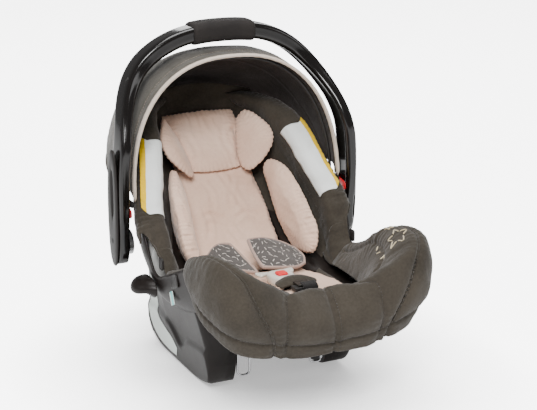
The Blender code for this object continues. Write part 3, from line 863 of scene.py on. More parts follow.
class Finish(Enum):
    """Every finish on the seat."""

    COVER = FabricFinish("brushed_taupe_cloth", (66, 60, 52), (50, 45, 38), Place.CLOTH, sheen=0.15)
    CANOPY = FabricFinish("canopy_suede_cloth", (92, 88, 81), (68, 65, 59), Place.CLOTH,
                          patches=22.0, specks=420.0, sheen=0.25)
    LINING = FabricFinish("canopy_dark_lining", (62, 54, 50), (46, 39, 36), Place.CLOTH, sheen=0.1)
    PIPING = FabricFinish("cream_binding", (214, 200, 184), (196, 180, 164), threads=420.0, creases=0.3)
    INSERT = FabricFinish("rose_beige_cloth", (236, 202, 180), (224, 186, 162),
                          threads=300.0, sheen=0.25, creases=0.35, roughness=0.85, specks=180.0)
    BINDING = FabricFinish("rose_binding", (178, 152, 140), (160, 134, 122), threads=420.0, creases=0.3)
    WEBBING = FabricFinish("black_webbing", (34, 31, 31), (22, 20, 20), Place.CLOTH,
                           threads=210.0, weave=1.0, sheen=0.1, creases=0.1)
    THREAD = FabricFinish("sewing_thread", (150, 138, 126), (130, 118, 106), weave=0.1, creases=0.0)
    DARK_THREAD = FabricFinish("dark_sewing_thread", (52, 46, 42), (44, 39, 36), weave=0.1, creases=0.0)
    STAR_THREAD = FabricFinish("cream_embroidery", (214, 200, 168), (176, 158, 124),
                               weave=0.1, creases=0.0, sheen=0.5)
    LABEL = FabricFinish("blank_woven_label", (250, 252, 250), (236, 240, 236), Place.CLOTH,
                         threads=500.0, sheen=0.1, specks=700.0)
    BAND = FabricFinish("yellow_label_band", (240, 200, 20), (228, 186, 12), Place.CLOTH,
                        threads=500.0, sheen=0.1)
    DASHES = DashPrint("grey_dash_print", (84, 79, 76), (214, 204, 194))
    SHELL = PlasticFinish("dark_shell_plastic", (24, 19, 17), (50, 44, 40), 0.4, specular=0.22)
    HANDLE = PlasticFinish("black_gloss_plastic", (12, 9, 8), (36, 31, 29), 0.14, grain=0.05, coat=0.0)
    HUB = PlasticFinish("matt_charcoal_plastic", (26, 23, 21), (54, 50, 47), 0.42, specular=0.3)
    RECESS = PlasticFinish("deep_recess_plastic", (24, 21, 20), (40, 36, 34), 0.6)
    RED = PlasticFinish("red_press_plastic", (226, 28, 40), (240, 90, 96), 0.3, grain=0.1, coat=0.2)
    BUCKLE = PlasticFinish("pale_buckle_plastic", (198, 194, 184), (226, 222, 214), 0.38, grain=0.15)
    STICKER = PlasticFinish("silver_label_film", (212, 220, 214), (230, 234, 230), 0.36,
                            grain=0.3, grain_scale=1600.0)
    TEAL = PlasticFinish("teal_label_film", (96, 190, 190), (150, 210, 210), 0.4)
    STEEL = MetalFinish("bright_steel", (0.6, 0.6, 0.61, 1.0), 0.1)
    FOAM = FoamFinish("white_bead_foam", (232, 232, 228), (214, 214, 210), 380.0)
    GRIP = FoamFinish("black_grip_foam", (36, 32, 30), (25, 22, 21))

    def material(self) -> bpy.types.Material:
        """The finish's material, made the first time that it is asked for."""
        return bpy.data.materials.get(self.value.name) or self.value.build()


def dress(obj: Piece, finish: Finish) -> Piece:
    """Put a finish on a piece.

    Args:
        obj: the piece.
        finish: its finish.

    Returns:
        The same piece.
    """
    obj.data.materials.clear()
    obj.data.materials.append(finish.material())
    return obj


def dress_node(name: str, finish: Finish) -> None:
    """Put a finish on a CAD node that stays in view."""
    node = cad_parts[name]
    for place in node.material_slots:
        place.material = finish.material()


def place_piece(obj: Piece, body: str, finish: Finish,
                stands_for: tuple = ()) -> Piece:
    """Dress a piece, let it ride on a body and hide the CAD nodes that it stands for.

    Args:
        obj: the piece.
        body: the CAD body that it moves with.
        finish: its finish.
        stands_for: CAD nodes that it replaces.

    Returns:
        The same piece.
    """
    dress(obj, finish)
    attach(obj, body)
    if stands_for:
        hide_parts(*stands_for)
    LOG.info("%s rides on %s", obj.name, body)
    return obj


# ---- the bucket's form


@dataclass(frozen=True)
class BucketForm:
    """The line and sections that the shell, the liner and the cover all follow.

    Stations run from head to foot: the middle line's y and z, the rim's half width, y and z.
    """

    stations: tuple = (
        (256, 400, 60, 250, 402), (269, 374, 88, 225, 402), (248, 345, 118, 188, 398),
        (208, 309, 138, 146, 388), (162, 264, 154, 92, 358), (110, 207, 169, 50, 310),
        (62, 150, 182, 12, 262), (10, 116, 184, -12, 236), (-48, 106, 180, -45, 184),
        (-110, 108, 176, -95, 198), (-175, 116, 168, -165, 230), (-235, 130, 160, -236, 248),
        (-278, 150, 144, -284, 246), (-298, 180, 96, -300, 204))
    power: float = 2.7
    back_range: tuple = (0.8, 7.62)
    seat_range: tuple = (7.72, 10.95)

    def station(self, at: Array) -> tuple[Array, Array, Array, Array]:
        """Middle point, way up to the rim, depth and half width at each parameter.

        Args:
            at: parameters along the bucket, as an array.

        Returns:
            The four values at each.
        """
        rows = spline(self.stations, at)
        middle = np.column_stack([np.zeros(len(rows)), rows[:, 0], rows[:, 1]])
        rise = np.column_stack([np.zeros(len(rows)), rows[:, 3], rows[:, 4]]) - middle
        depth = np.linalg.norm(rise, axis=1)
        return middle, rise / depth[:, None], depth, rows[:, 2]

    def placed(self, at: Array, across: Array, height: Array) -> Array:
        """Grid from each station's own distances across and up."""
        middle, up, _, _ = self.station(at)
        grid = middle[:, None, :] + up[:, None, :] * height[:, :, None]
        grid[:, :, 0] += across
        return grid

    def surface(self, at: Array, turns: Array) -> Array:
        """Outer surface: a superellipse section at each station.

        Args:
            at: parameters along the bucket.
            turns: angles round the section.

        Returns:
            The points.
        """
        _, _, depth, width = self.station(at)
        angle = np.asarray(turns) * math.pi / 2
        side = powered(np.sin(angle), 2 / self.power)
        rise = 1 - np.abs(np.cos(angle)) ** (2 / self.power)
        return self.placed(at, np.outer(width, side), np.outer(depth, rise))

    def back_section(self, depth: Array, width: Array) -> Array:
        """Rows across the cover's face beside the back, from its middle to the turned-down edge.

        Args:
            depth: how deep each row is.
            width: half the width of each.

        Returns:
            The right half of each row.
        """
        top = depth + 12
        inner = width - 36
        floor = np.minimum(26.0, 0.5 * depth + 4)
        flat = np.zeros_like(depth)
        rows = ((flat, floor), (0.4 * inner, floor), (0.74 * inner, floor + 5),
                (0.93 * inner, 0.45 * top + 10), (inner, top - 12), (inner + 9, top - 1),
                (width - 12, top), (width - 3, top), (width + 5.5, top - 4), (width + 8, top - 13),
                (width + 8.5, top - 26))
        return np.stack([np.stack(row, axis=1) for row in rows], axis=1)

    def seat_section(self, depth: Array, width: Array) -> Array:
        """Rows across the cover over the seat."""
        inner = width - 66
        flat = np.zeros_like(depth)
        rows = ((flat, flat + 40), (0.45 * inner, flat + 40), (0.8 * inner, flat + 42), (inner, flat + 47))
        return np.stack([np.stack(row, axis=1) for row in rows], axis=1)

    def well(self, at: Array, section: Callable[[Array, Array], Array], columns: int) -> Array:
        """Grid through a section mirrored about the middle, smoothed to that many columns.

        Args:
            at: stations of the rows.
            section: gives the right half of each row from its depth and width.
            columns: points across.

        Returns:
            The grid.
        """
        _, _, depth, width = self.station(at)
        rows = section(depth, width)
        rows = np.concatenate([rows[:, :0:-1] * (-1, 1), rows], axis=1)
        fine = resample(rows.transpose(1, 0, 2), columns).transpose(1, 0, 2)
        return self.placed(at, fine[:, :, 0], fine[:, :, 1])

    def on_floor(self, at: Array, across: Array, lift: Array) -> Array:
        """Points above the cover's floor, lift measured up from it at each station.

        Args:
            at: stations.
            across: distances from the middle.
            lift: heights above the floor.

        Returns:
            The points.
        """
        at = np.asarray(at, float)
        middle, up, depth, _ = self.station(at)
        floor = np.where(at < self.seat_range[0], np.minimum(26.0, 0.5 * depth + 4), 40.0)
        point = middle + up * (floor + lift)[:, None]
        point[:, 0] += across
        return point


FORM = BucketForm()


def mirrored_line(rows: tuple, count: int) -> Array:
    """A line from the left valley round to the right one, from the rows of its right half."""
    half = resample(np.asarray(rows, float), count)
    return np.vstack([half * (-1, 1, 1), half[-2::-1]])


# ---- studio


@dataclass
class Studio:
    """Pale floor, soft boxes and the camera."""

    azimuth: float = -25.4
    elevation: float = 16.9
    distance: float = 2.4
    lens: float = 98.7
    target: tuple = (-0.002, -0.079, 0.291)
    floor_reach: float = 9.0

    def build(self) -> None:
        """Make the floor, the camera, the world and the lights."""
        self.floor()
        self.camera()
        self.world()
        for name, place, size, power in (("key", (-1.3, -2.3, 2.6), 1.3, 150.0),
                                         ("fill", (2.4, -1.6, 1.4), 1.2, 12.0),
                                         ("top", (0.1, 0.2, 2.8), 1.6, 70.0),
                                         ("side", (-2.6, 0.6, 1.5), 1.0, 9.0),
                                         ("rear", (1.2, 2.6, 1.8), 1.4, 26.0)):
            self.soft_box(name, place, size, power)

    def floor(self) -> None:
        """A wide pale floor with a faint mottle, lit from within a little so that it stays white, with a
        contact shadow painted into its glow.
        """
        reach = self.floor_reach
        steps = np.linspace(-reach, reach, 9)
        grid = np.stack(np.meshgrid(steps, steps), axis=2)
        points = np.concatenate([grid, np.zeros(grid.shape[:2] + (1,))], axis=2).reshape(-1, 3)
        obj = mesh_from("floor", points, quads(9, 9))
        material, nodes, shader = new_material("pale_floor", {
            "Roughness": 0.9, "Emission Color": (1, 1, 1, 1)})
        seen = nodes.add("ShaderNodeLightPath").outputs["Is Camera Ray"]
        # painted contact shadow: ambient occlusion dims the floor's glow to the camera near the seat
        painted_shadow_ao = nodes.add("ShaderNodeAmbientOcclusion", {"samples": 8}, Distance=0.3).outputs["AO"]
        glow_with_painted_shadow = nodes.sum("MULTIPLY", nodes.sum("POWER", painted_shadow_ao, 2.2), 5.5)
        solid = nodes.add("ShaderNodeTexCoord").outputs["Object"]
        mottle = apply_effect(nodes, Effect.MOTTLE, Place=solid, Patches=1.2, Specks=60.0)
        nodes.feed(shader, Base_Color=nodes.mix(mottle, (0.86, 0.86, 0.86, 1), (0.84, 0.84, 0.84, 1)),
                   Emission_Strength=nodes.sum("MAXIMUM", nodes.sum("MULTIPLY", glow_with_painted_shadow, seen), 0.5))
        obj.data.materials.append(material)

    def camera(self) -> None:
        """A long lens, turned about the target by azimuth and elevation."""
        turn, rise = math.radians(self.azimuth), math.radians(self.elevation)
        way = Vector((math.sin(turn) * math.cos(rise), -math.cos(turn) * math.cos(rise), math.sin(rise)))
        lens = bpy.data.cameras.new("camera")
        lens.lens = self.lens
        lens.sensor_width = 36.0
        obj = bpy.data.objects.new("camera", lens)
        obj.location = Vector(self.target) + way * self.distance
        obj.rotation_euler = way.to_track_quat("Z", "Y").to_euler()
        bpy.context.scene.collection.objects.link(obj)
        bpy.context.scene.camera = obj

    def world(self) -> None:
        """An even pale world."""
        world = bpy.data.worlds.new("studio")
        world.use_nodes = True
        back = world.node_tree.nodes["Background"]
        back.inputs["Color"].default_value = (1.0, 1.0, 1.0, 1.0)
        back.inputs["Strength"].default_value = 0.28
        bpy.context.scene.world = world

    def soft_box(self, name: str, place: tuple, size: float, power: float) -> None:
        """A square area light that faces the seat.

        Args:
            name: the light's name.
            place: where it stands.
            size: its side.
            power: its watts.
        """
        light = bpy.data.lights.new(name, "AREA")
        light.energy = power
        light.size = size
        obj = bpy.data.objects.new(name, light)
        obj.location = place
        obj.rotation_euler = (Vector(place) - Vector((0, 0, 0.25))).to_track_quat("Z", "Y").to_euler()
        bpy.context.scene.collection.objects.link(obj)


# ---- shell and base


@dataclass
class Shell:
    """The moulded bucket with its belt guides, clips and foam liner."""

    wall: float = 3.5
    rows: int = 150
    columns: int = 121
    rib_depth: float = 2.2
    guide_reach: float = 30.0

    def build(self) -> None:
        """Make every shell piece."""
        self.bucket()
        for side, mirror in SIDES:
            self.belt_guide(side, mirror)
            self.side_clip(side, mirror)
        dress_node("foam_liner", Finish.FOAM)
        dress_node("splitter_plate", Finish.STEEL)
        dress_node("release_bracket", Finish.SHELL)
        dress_node("release_lever", Finish.RED)

    def bucket(self) -> None:
        """Superellipse sections, with two raised ribs along the back and shallow ribs across it."""
        at = np.linspace(0, len(FORM.stations) - 1, self.rows)
        turns = np.linspace(-1, 1, self.columns)
        grid = FORM.surface(at, turns)
        station = at[:, None]
        turn = np.abs(turns)[None, :]
        back = ramp(station, 1.0, 1.6) * (1 - ramp(station, 6.0, 6.8))
        panel = ramp(turn, 0.50, 0.54) * (1 - ramp(turn, 0.60, 0.64)) * self.rib_depth
        slots = bump(np.mod(station * 2.5, 1.0), 0.5, 0.12) * (1 - ramp(turn, 0.34, 0.40)) * self.rib_depth
        grid = displaced(grid, -(panel - 0.7 * slots) * back, 1.0)
        obj = skin("shell_bucket_skin", grid, flip=True)
        add_wall(obj, self.wall, -1.0)
        place_piece(obj, "root", Finish.SHELL, ("shell_bucket",))

    def belt_guide(self, side: str, mirror: float) -> None:
        """A horn that the lap belt hooks under: an ellipse that shrinks outwards and droops.

        Args:
            side: left or right, for the names.
            mirror: -1 on the left, 1 on the right.
        """
        part = np.linspace(0, 1, 26)
        centre = np.column_stack([mirror * (186 + self.guide_reach * part), -28 + 6 * part,
                                  158 - 4 * part + 3 * np.sin(part * math.pi)])
        fade = np.sqrt(np.clip(1 - part**6, 0.01, 1))
        half_y = (34 - 16 * part**1.5) * fade
        half_z = (17 - 8 * part) * fade
        cos, sin = rounded(40, 2.2)
        hook = 1 - 0.35 * np.clip(-sin, 0, 1)[None, :] * bump(part, 0.5, 0.28)[:, None]
        rings = np.stack([np.repeat(centre[:, :1], 40, axis=1), centre[:, 1:2] + np.outer(half_y, cos),
                          centre[:, 2:3] + np.outer(half_z, sin) * hook], axis=2)
        obj = loft(f"belt_horn_{side}", rings)
        place_piece(obj, "root", Finish.SHELL, (f"belt_guide_{side}",))

    def side_clip(self, side: str, mirror: float) -> None:
        """A dark retaining clip on the cover's edge, and the grey ramp plate in front of it.

        Args:
            side: left or right, for the names.
            mirror: -1 on the left, 1 on the right.
        """
        for name, middle, size, lean, finish in (
                ("cover_clip", (176, -56, 203), (3.0, 7.0, 10.0), 0.0, Finish.RECESS),
                ("ramp_plate", (177, -112, 192), (1.6, 17.0, 12.0), -0.35, Finish.HUB)):
            part = np.linspace(-1, 1, 9)
            path = np.column_stack([mirror * (middle[0] + size[0] * part), np.full(9, middle[1]),
                                    np.full(9, middle[2])])
            fade = tapered_ends(9, 0.3)
            rings = carried(path, (0, math.cos(lean), math.sin(lean)), size[1] * fade, size[2] * fade,
                            5.0, 28)
            place_piece(loft(f"{name}_{side}", rings), "root", finish)


@dataclass
class Base:
    """The rocker base: two sculpted runners, cross bars, latch loops and blank labels."""

    inner: float = 83.0
    outer: float = 125.0
    flare: float = 28.0
    rounding: float = 7.0
    rows: int = 60
    columns: int = 90
    step: float = 5.0

    def build(self) -> None:
        """Make both sides and dress the hardware."""
        for side, mirror in SIDES:
            self.runner(side, mirror)
            self.label(side, mirror)
            self.loop(side, mirror)
            dress_node(f"latch_mount_{side}", Finish.RECESS)
        for bar in ("base_front_bar", "base_rear_bar"):
            dress_node(bar, Finish.SHELL)
        self.small_sticker()

    def top_line(self, y: Array) -> Array:
        """Height of the runner's upper edge, just inside the bucket."""
        return np.interp(y, (-139, -60, 40, 110, 160), (148, 150, 186, 240, 285))

    def low_line(self, y: Array) -> Array:
        """Height of the runner's lower edge: flat in the middle, round at toe and heel."""
        toe = 15 * np.clip((-50 - y) / 91, 0, 1) ** 2.4 + 42 * np.clip((-128 - y) / 18, 0, 1) ** 2
        heel = 15 * np.clip((y - 52) / 74, 0, 1) ** 2.2 + 40 * np.clip((y - 120) / 30, 0, 1) ** 1.8
        return toe + heel

    def front_line(self, v: Array) -> Array:
        """y of the toe's upright edge at each share of the height."""
        return -146 + 7 * v**2 + 3 * (1 - v) ** 6

    def rear_line(self, v: Array) -> Array:
        """y of the heel's upright edge at each share of the height."""
        return 143 + 17 * v**0.7

    def side_x(self, y: Array, z: Array) -> Array:
        """How far out the side stands: it flares upwards, stepped out below a wavy line."""
        flare = self.flare * np.clip((z - 10) / 130, 0, 1) ** 1.2 * np.clip((110 - y) / 80, 0, 1)
        wave = 70 - 26 * bump(y, -22, 24) + 4 * np.sin(y / 31)
        return self.outer + flare + self.step * (ramp(wave - z, -5, 7) - 0.4)

    def faces(self) -> tuple[Array, Array, Array]:
        """Grids of y and z over the side, and each point's distance from its edge."""
        u = np.linspace(0, 1, self.columns)[None, :]
        v = np.linspace(0, 1, self.rows)[:, None]
        y = self.front_line(v) * (1 - u) + self.rear_line(v) * u
        low, top = self.low_line(y), self.top_line(y)
        z = low + (top - low) * v
        edge = np.minimum(np.minimum(y - self.front_line(v), self.rear_line(v) - y), z - low)
        return y, z, np.minimum(edge, 60)

    def runner(self, side: str, mirror: float) -> None:
        """Outer and inner faces joined round their border, the outer one rounded at its edge.

        Args:
            side: left or right, for the names.
            mirror: -1 on the left, 1 on the right.
        """
        y, z, edge = self.faces()
        near = np.clip(edge / self.rounding, 0, 1)
        fall = self.rounding * (1 - np.sqrt(1 - (1 - near) ** 2))
        out = np.stack([mirror * (self.side_x(y, z) - fall), y, z], axis=2)
        back = np.stack([np.full_like(y, mirror * self.inner), y, z], axis=2)
        count = self.rows * self.columns
        faces = quads(self.rows, self.columns)
        border, nxt = border_of(self.rows, self.columns)
        wall = np.column_stack([border, nxt, nxt + count, border + count])
        points = np.vstack([out.reshape(-1, 3), back.reshape(-1, 3)])
        obj = mesh_from(f"base_side_{side}", metres(points),
                        np.vstack([faces, faces[:, ::-1] + count, wall[:, ::-1]]))
        outwards(obj)
        place_piece(obj, "root", Finish.SHELL, (f"base_runner_{side}",))

    def on_side(self, y: Array, z: Array, mirror: float, lift: float) -> Array:
        """Points lifted off the runner's side."""
        return np.stack([mirror * (self.side_x(y, z) + lift), y, z], axis=2)

    def label(self, side: str, mirror: float) -> None:
        """A blank silver crescent along the heel, between an outer and an inner curve.

        Args:
            side: left or right, for the names.
            mirror: -1 on the left, 1 on the right.
        """
        outer = resample(np.array([(128, 158), (138, 118), (137, 70), (120, 34), (84, 16), (40, 11),
                                   (4, 12)], float), 60)
        inner = resample(np.array([(114, 158), (110, 122), (98, 84), (74, 60), (40, 52), (14, 44),
                                   (-4, 28)], float), 60)
        share = np.linspace(0, 1, 14)[None, :, None]
        flat = outer[:, None, :] * (1 - share) + inner[:, None, :] * share
        grid = self.on_side(flat[:, :, 0], flat[:, :, 1], mirror, 0.5)
        obj = skin(f"base_label_{side}", grid, flip=mirror < 0)
        add_wall(obj, 0.3, 0.0)
        place_piece(obj, "root", Finish.STICKER)

    def small_sticker(self) -> None:
        """A small two-tone film tab on the near side, under the cover's edge."""
        for name, low, high, finish in (("side_tab_white", 0.0, 1.0, Finish.STICKER),
                                        ("side_tab_teal", 0.12, 0.62, Finish.TEAL)):
            u = np.linspace(low, high, 8)[None, :]
            v = np.linspace(0, 1, 8)[:, None]
            y = -112 + 14 * u + 4 * v
            z = 152 + 22 * v - 7 * u
            x = -(176 + 2.0 * v + (0.6 if finish is Finish.TEAL else 0.0)) + 0 * u
            obj = skin(name, np.stack(np.broadcast_arrays(x, y, z), axis=2), flip=True)
            add_wall(obj, 0.4, 0.0)
            place_piece(obj, "root", finish)

    def loop(self, side: str, mirror: float) -> None:
        """A bright wire loop that hooks into the car's base: a U with round corners.

        Args:
            side: left or right, for the names.
            mirror: -1 on the left, 1 on the right.
        """
        corner = np.linspace(0, math.pi / 2, 8)
        left = np.column_stack([-3 - 8 * np.sin(corner[::-1]), 19 + 8 * (1 - np.cos(corner[::-1]))])
        leg = np.column_stack([np.full(9, -11.0), np.linspace(86, 30, 9)])
        half = np.vstack([leg, left])
        whole = np.vstack([half, half[::-1] * (-1, 1)])
        path = np.column_stack([mirror * 66 + whole[:, 0], np.full(len(whole), -135.0), whole[:, 1]])
        obj = round_bar(f"latch_wire_{side}", path, 2.1, 16)
        place_piece(obj, "root", Finish.STEEL, (f"latch_loop_{side}",))


# ---- handle


@dataclass
class Handle:
    """The carry handle: a grooved arch, foam grip, hub shields, screws and release buttons."""

    half_width: float = 220.0
    top: float = 562.0
    spring: float = 290.0
    power: float = 2.5
    depth: float = 50.0
    thickness: float = 19.0
    groove: float = 2.6

    def build(self) -> None:
        """Make the handle's pieces."""
        self.arch()
        self.grip()
        for side, mirror in SIDES:
            self.shield(side, mirror)
            self.button(side, mirror)
            self.rivet(side, mirror)
            dress_node(f"hub_screw_{side}", Finish.STEEL)
            dress_node(f"hub_lock_disc_{side}", Finish.STEEL)

    def bow(self, z: Array) -> Array:
        """Middle of the handle's depth at a height: upright legs, swept back at the grip."""
        drop = np.clip((z - 215) / 75, 0, 1)
        return 33 + 68 * ramp(z, 372, 522) + 9 * (1 - drop * drop * (3 - 2 * drop))

    def line(self, count: int) -> tuple[Array, Array]:
        """Outer line of the arch from foot to foot, and the way out at each point.

        Args:
            count: number of points.

        Returns:
            The points and the unit ways out.
        """
        foot = np.linspace(PIVOT_Z - 36, self.spring, 34)[:-1]
        angle = np.linspace(0, math.pi / 2, count)
        x = self.half_width * np.cos(angle) ** (2 / self.power)
        z = self.spring + (self.top - self.spring) * np.sin(angle) ** (2 / self.power)
        x = np.concatenate([np.full(len(foot), self.half_width), x])
        z = np.concatenate([foot, z])
        line = np.column_stack([np.concatenate([-x, x[-2::-1]]), np.concatenate([z, z[-2::-1]])])
        run = np.gradient(line, axis=0)
        run /= np.linalg.norm(run, axis=1)[:, None]
        return line, np.column_stack([-run[:, 1], run[:, 0]])

    def sizes(self, z: Array) -> tuple[Array, Array]:
        """Half depth and half thickness at a height, the depth closing round at the feet."""
        rise = np.clip((z - 430) / 110, 0, 1)
        foot = np.clip((z - (PIVOT_Z - 36)) / 25, 0, 1)
        deep = (self.depth - 8 * rise) / 2 * np.sqrt(np.clip(1 - (1 - foot) ** 2, 0.02, 1))
        return deep, (self.thickness + 9 * rise) / 2

    def arch(self) -> None:
        """Rounded oblong section carried round the arch, with a channel along its inner face."""
        line, out = self.line(90)
        z = line[:, 1]
        deep, thick = self.sizes(z)
        around = 64
        cos, sin = rounded(around, 4.4)
        inner = np.clip(-cos, 0, 1) ** 4
        channel = self.groove * inner * (1 - ramp(np.abs(sin), 0.42, 0.62))
        legs = ramp(z, 250, 275) * (1 - 0.6 * ramp(z, 500, 540))
        across = np.outer(thick, cos) + np.outer(legs, channel) - (thick - self.thickness / 2)[:, None]
        across = across - self.thickness / 2
        ridge = 1 - 0.05 * bump(cos, 0.1, 0.25)[None, :] * legs[:, None]
        rings = np.stack([line[:, :1] + out[:, :1] * across,
                          self.bow(z)[:, None] + np.outer(deep, sin) * ridge,
                          line[:, 1:] + out[:, 1:] * across], axis=2)
        obj = loft("handle_bow", rings)
        place_piece(obj, "handle", Finish.HANDLE, ("handle_arch",))

    def grip(self) -> None:
        """Foam sleeve round the top: an oblong section that bulges between its two ends."""
        x = np.linspace(-56, 56, 46)
        fall = self.top - self.spring
        top = self.spring + fall * (1 - np.abs(x / self.half_width) ** self.power) ** (1 / self.power)
        fade = 0.86 + 0.14 * tapered_ends(46, 0.07)
        cos, sin = rounded(56, 3.3)
        seam = 1 - 0.03 * bump(sin, -0.95, 0.12)
        rings = np.stack([np.repeat(x[:, None], 56, axis=1), 101 + 26 * fade[:, None] * (cos * seam)[None, :],
                          (top - 14)[:, None] + 18.5 * fade[:, None] * sin[None, :]], axis=2)
        obj = loft("grip_foam_sleeve", rings)
        place_piece(obj, "handle", Finish.GRIP, ("grip_sleeve",))

    def shield(self, side: str, mirror: float) -> None:
        """Matt cover plate with a long finger slot: nested outlines, domed towards the middle.

        Args:
            side: left or right, for the names.
            mirror: -1 on the left, 1 on the right.
        """
        angle = np.linspace(0, 2 * math.pi, 96, endpoint=False)
        rise = np.sin(angle)
        half = 22 - 3 * np.clip(rise, 0, 1) ** 2
        middle_y = PIVOT_Y - 1 - 4 * np.clip(rise, 0, 1)
        outline = np.column_stack([middle_y + half * powered(np.cos(angle), 0.7),
                                   277 + 100 * powered(rise, 0.82)])
        slot = np.column_stack([38 + 6.0 * powered(np.cos(angle), 0.8), 303 + 40 * powered(rise, 0.8)])
        face = self.half_width
        loops = [(x, slot + (outline - slot) * share) for x, share in
                 ((0.3, 1.0), (2.2, 1.0), (3.4, 0.94), (4.0, 0.5), (4.0, 0.12), (3.4, 0.0))]
        centre = slot.mean(axis=0)
        loops += [(x, centre + (slot - centre) * share) for x, share in ((1.2, 0.94), (0.9, 0.4))]
        rings = [np.column_stack([np.full(96, mirror * (face + x)), ring]) for x, ring in loops]
        obj = loft(f"hub_shield_{side}", np.array(rings))
        place_piece(obj, "handle", Finish.HUB, (f"hub_cover_{side}",))
        hole = np.column_stack([np.array([face + 3.2, face + 4.2, face + 4.3]) * mirror,
                                np.full(3, PIVOT_Y), np.full(3, 220.0)])
        ring = carried(hole, (0, 1, 0), np.array([4.6, 4.6, 3.4]), np.array([4.6, 4.6, 3.4]), 2.0, 24)
        place_piece(loft(f"screw_well_{side}", ring), "handle", Finish.RECESS)

    def button(self, side: str, mirror: float) -> None:
        """Red release lever behind the leg: a tapered bar with a rounded thumb pad.

        Args:
            side: left or right, for the names.
            mirror: -1 on the left, 1 on the right.
        """
        part = np.linspace(0, 1, 30)
        path = np.column_stack([np.full(30, mirror * 199.0), 12 + 94 * part, 268 + 18 * part])
        fade = tapered_ends(30, 0.12)
        rings = carried(path, (1, 0, 0), 1.3 * fade, (8.5 - 2.5 * part) * fade, 3.0, 24)
        obj = loft(f"release_tab_{side}", rings)
        place_piece(obj, f"release_{side}", Finish.RED, (f"release_button_{side}",))

    def rivet(self, side: str, mirror: float) -> None:
        """Small domed rivet on the handle's shoulder.

        Args:
            side: left or right, for the names.
            mirror: -1 on the left, 1 on the right.
        """
        line, out = self.line(90)
        index = int(np.argmin(np.abs(line[:len(line) // 2, 1] - 483)))
        base = np.array([line[index, 0], self.bow(line[index, 1]) - 10, line[index, 1]]) * (-mirror, 1, 1)
        way = np.array([out[index, 0], 0, out[index, 1]]) * (-mirror, 1, 1)
        path = base + way * np.linspace(-1.0, 0.9, 5)[:, None]
        scale = np.array([3.4, 3.4, 3.2, 2.4, 1.0])
        obj = loft(f"shoulder_rivet_{side}", carried(path, (0, 1, 0), scale, scale, 2.0, 20))
        place_piece(obj, "handle", Finish.RECESS)


# ---- soft parts


def sample(grid: Array, rows: Array, columns: Array) -> Array:
    """Points of a grid at fractional row and column numbers, mixed from the four neighbours.

    Args:
        grid: the grid.
        rows: row numbers, in any shape.
        columns: column numbers, in the same shape.

    Returns:
        One point for each pair.
    """
    rows = np.clip(np.asarray(rows, float), 0, grid.shape[0] - 1.0001)
    columns = np.clip(np.asarray(columns, float), 0, grid.shape[1] - 1.0001)
    row, column = np.floor(rows).astype(int), np.floor(columns).astype(int)
    down, over = (rows - row)[..., None], (columns - column)[..., None]
    near = grid[row, column] * (1 - over) + grid[row, column + 1] * over
    far = grid[row + 1, column] * (1 - over) + grid[row + 1, column + 1] * over
    return near * (1 - down) + far * down


def nearest_node(grid: Array, point: tuple) -> tuple[float, float]:
    """Row and column of the grid point nearest to a point."""
    gap = ((grid - np.asarray(point, float)) ** 2).sum(axis=2)
    row, column = np.unravel_index(int(gap.argmin()), gap.shape)
    return float(row), float(column)


def strip_on(grid: Array, out: Array, corners: list, rows: int, columns: int, lift: float) -> Array:
    """A patch that lies on a grid, between four corners given as row and column.

    Args:
        grid: the surface.
        out: its outward normals.
        corners: first edge's start and end, then the second edge's start and end.
        rows: points along the edges.
        columns: points between the edges.
        lift: distance off the surface.

    Returns:
        The patch's own grid.
    """
    u = np.linspace(0, 1, rows)[:, None, None]
    v = np.linspace(0, 1, columns)[None, :, None]
    a0, a1, b0, b1 = (np.asarray(corner, float) for corner in corners)
    place = (a0 * (1 - u) + a1 * u) * (1 - v) + (b0 * (1 - u) + b1 * u) * v
    return sample(grid, place[..., 0], place[..., 1]) + sample(out, place[..., 0], place[..., 1]) * lift


def sheet_facts(grid: Array) -> tuple[tuple[float, float], float]:
    """Flat width and length that a grid of cloth was cut from, and its area, in metres."""
    width = np.linalg.norm(np.diff(grid, axis=1), axis=2).sum(axis=1).max() * MM
    length = np.linalg.norm(np.diff(grid, axis=0), axis=2).sum(axis=0).max() * MM
    cross = np.cross(grid[1:, :-1] - grid[:-1, :-1], grid[:-1, 1:] - grid[:-1, :-1])
    return (float(width), float(length)), float(np.linalg.norm(cross, axis=2).sum() * MM * MM)


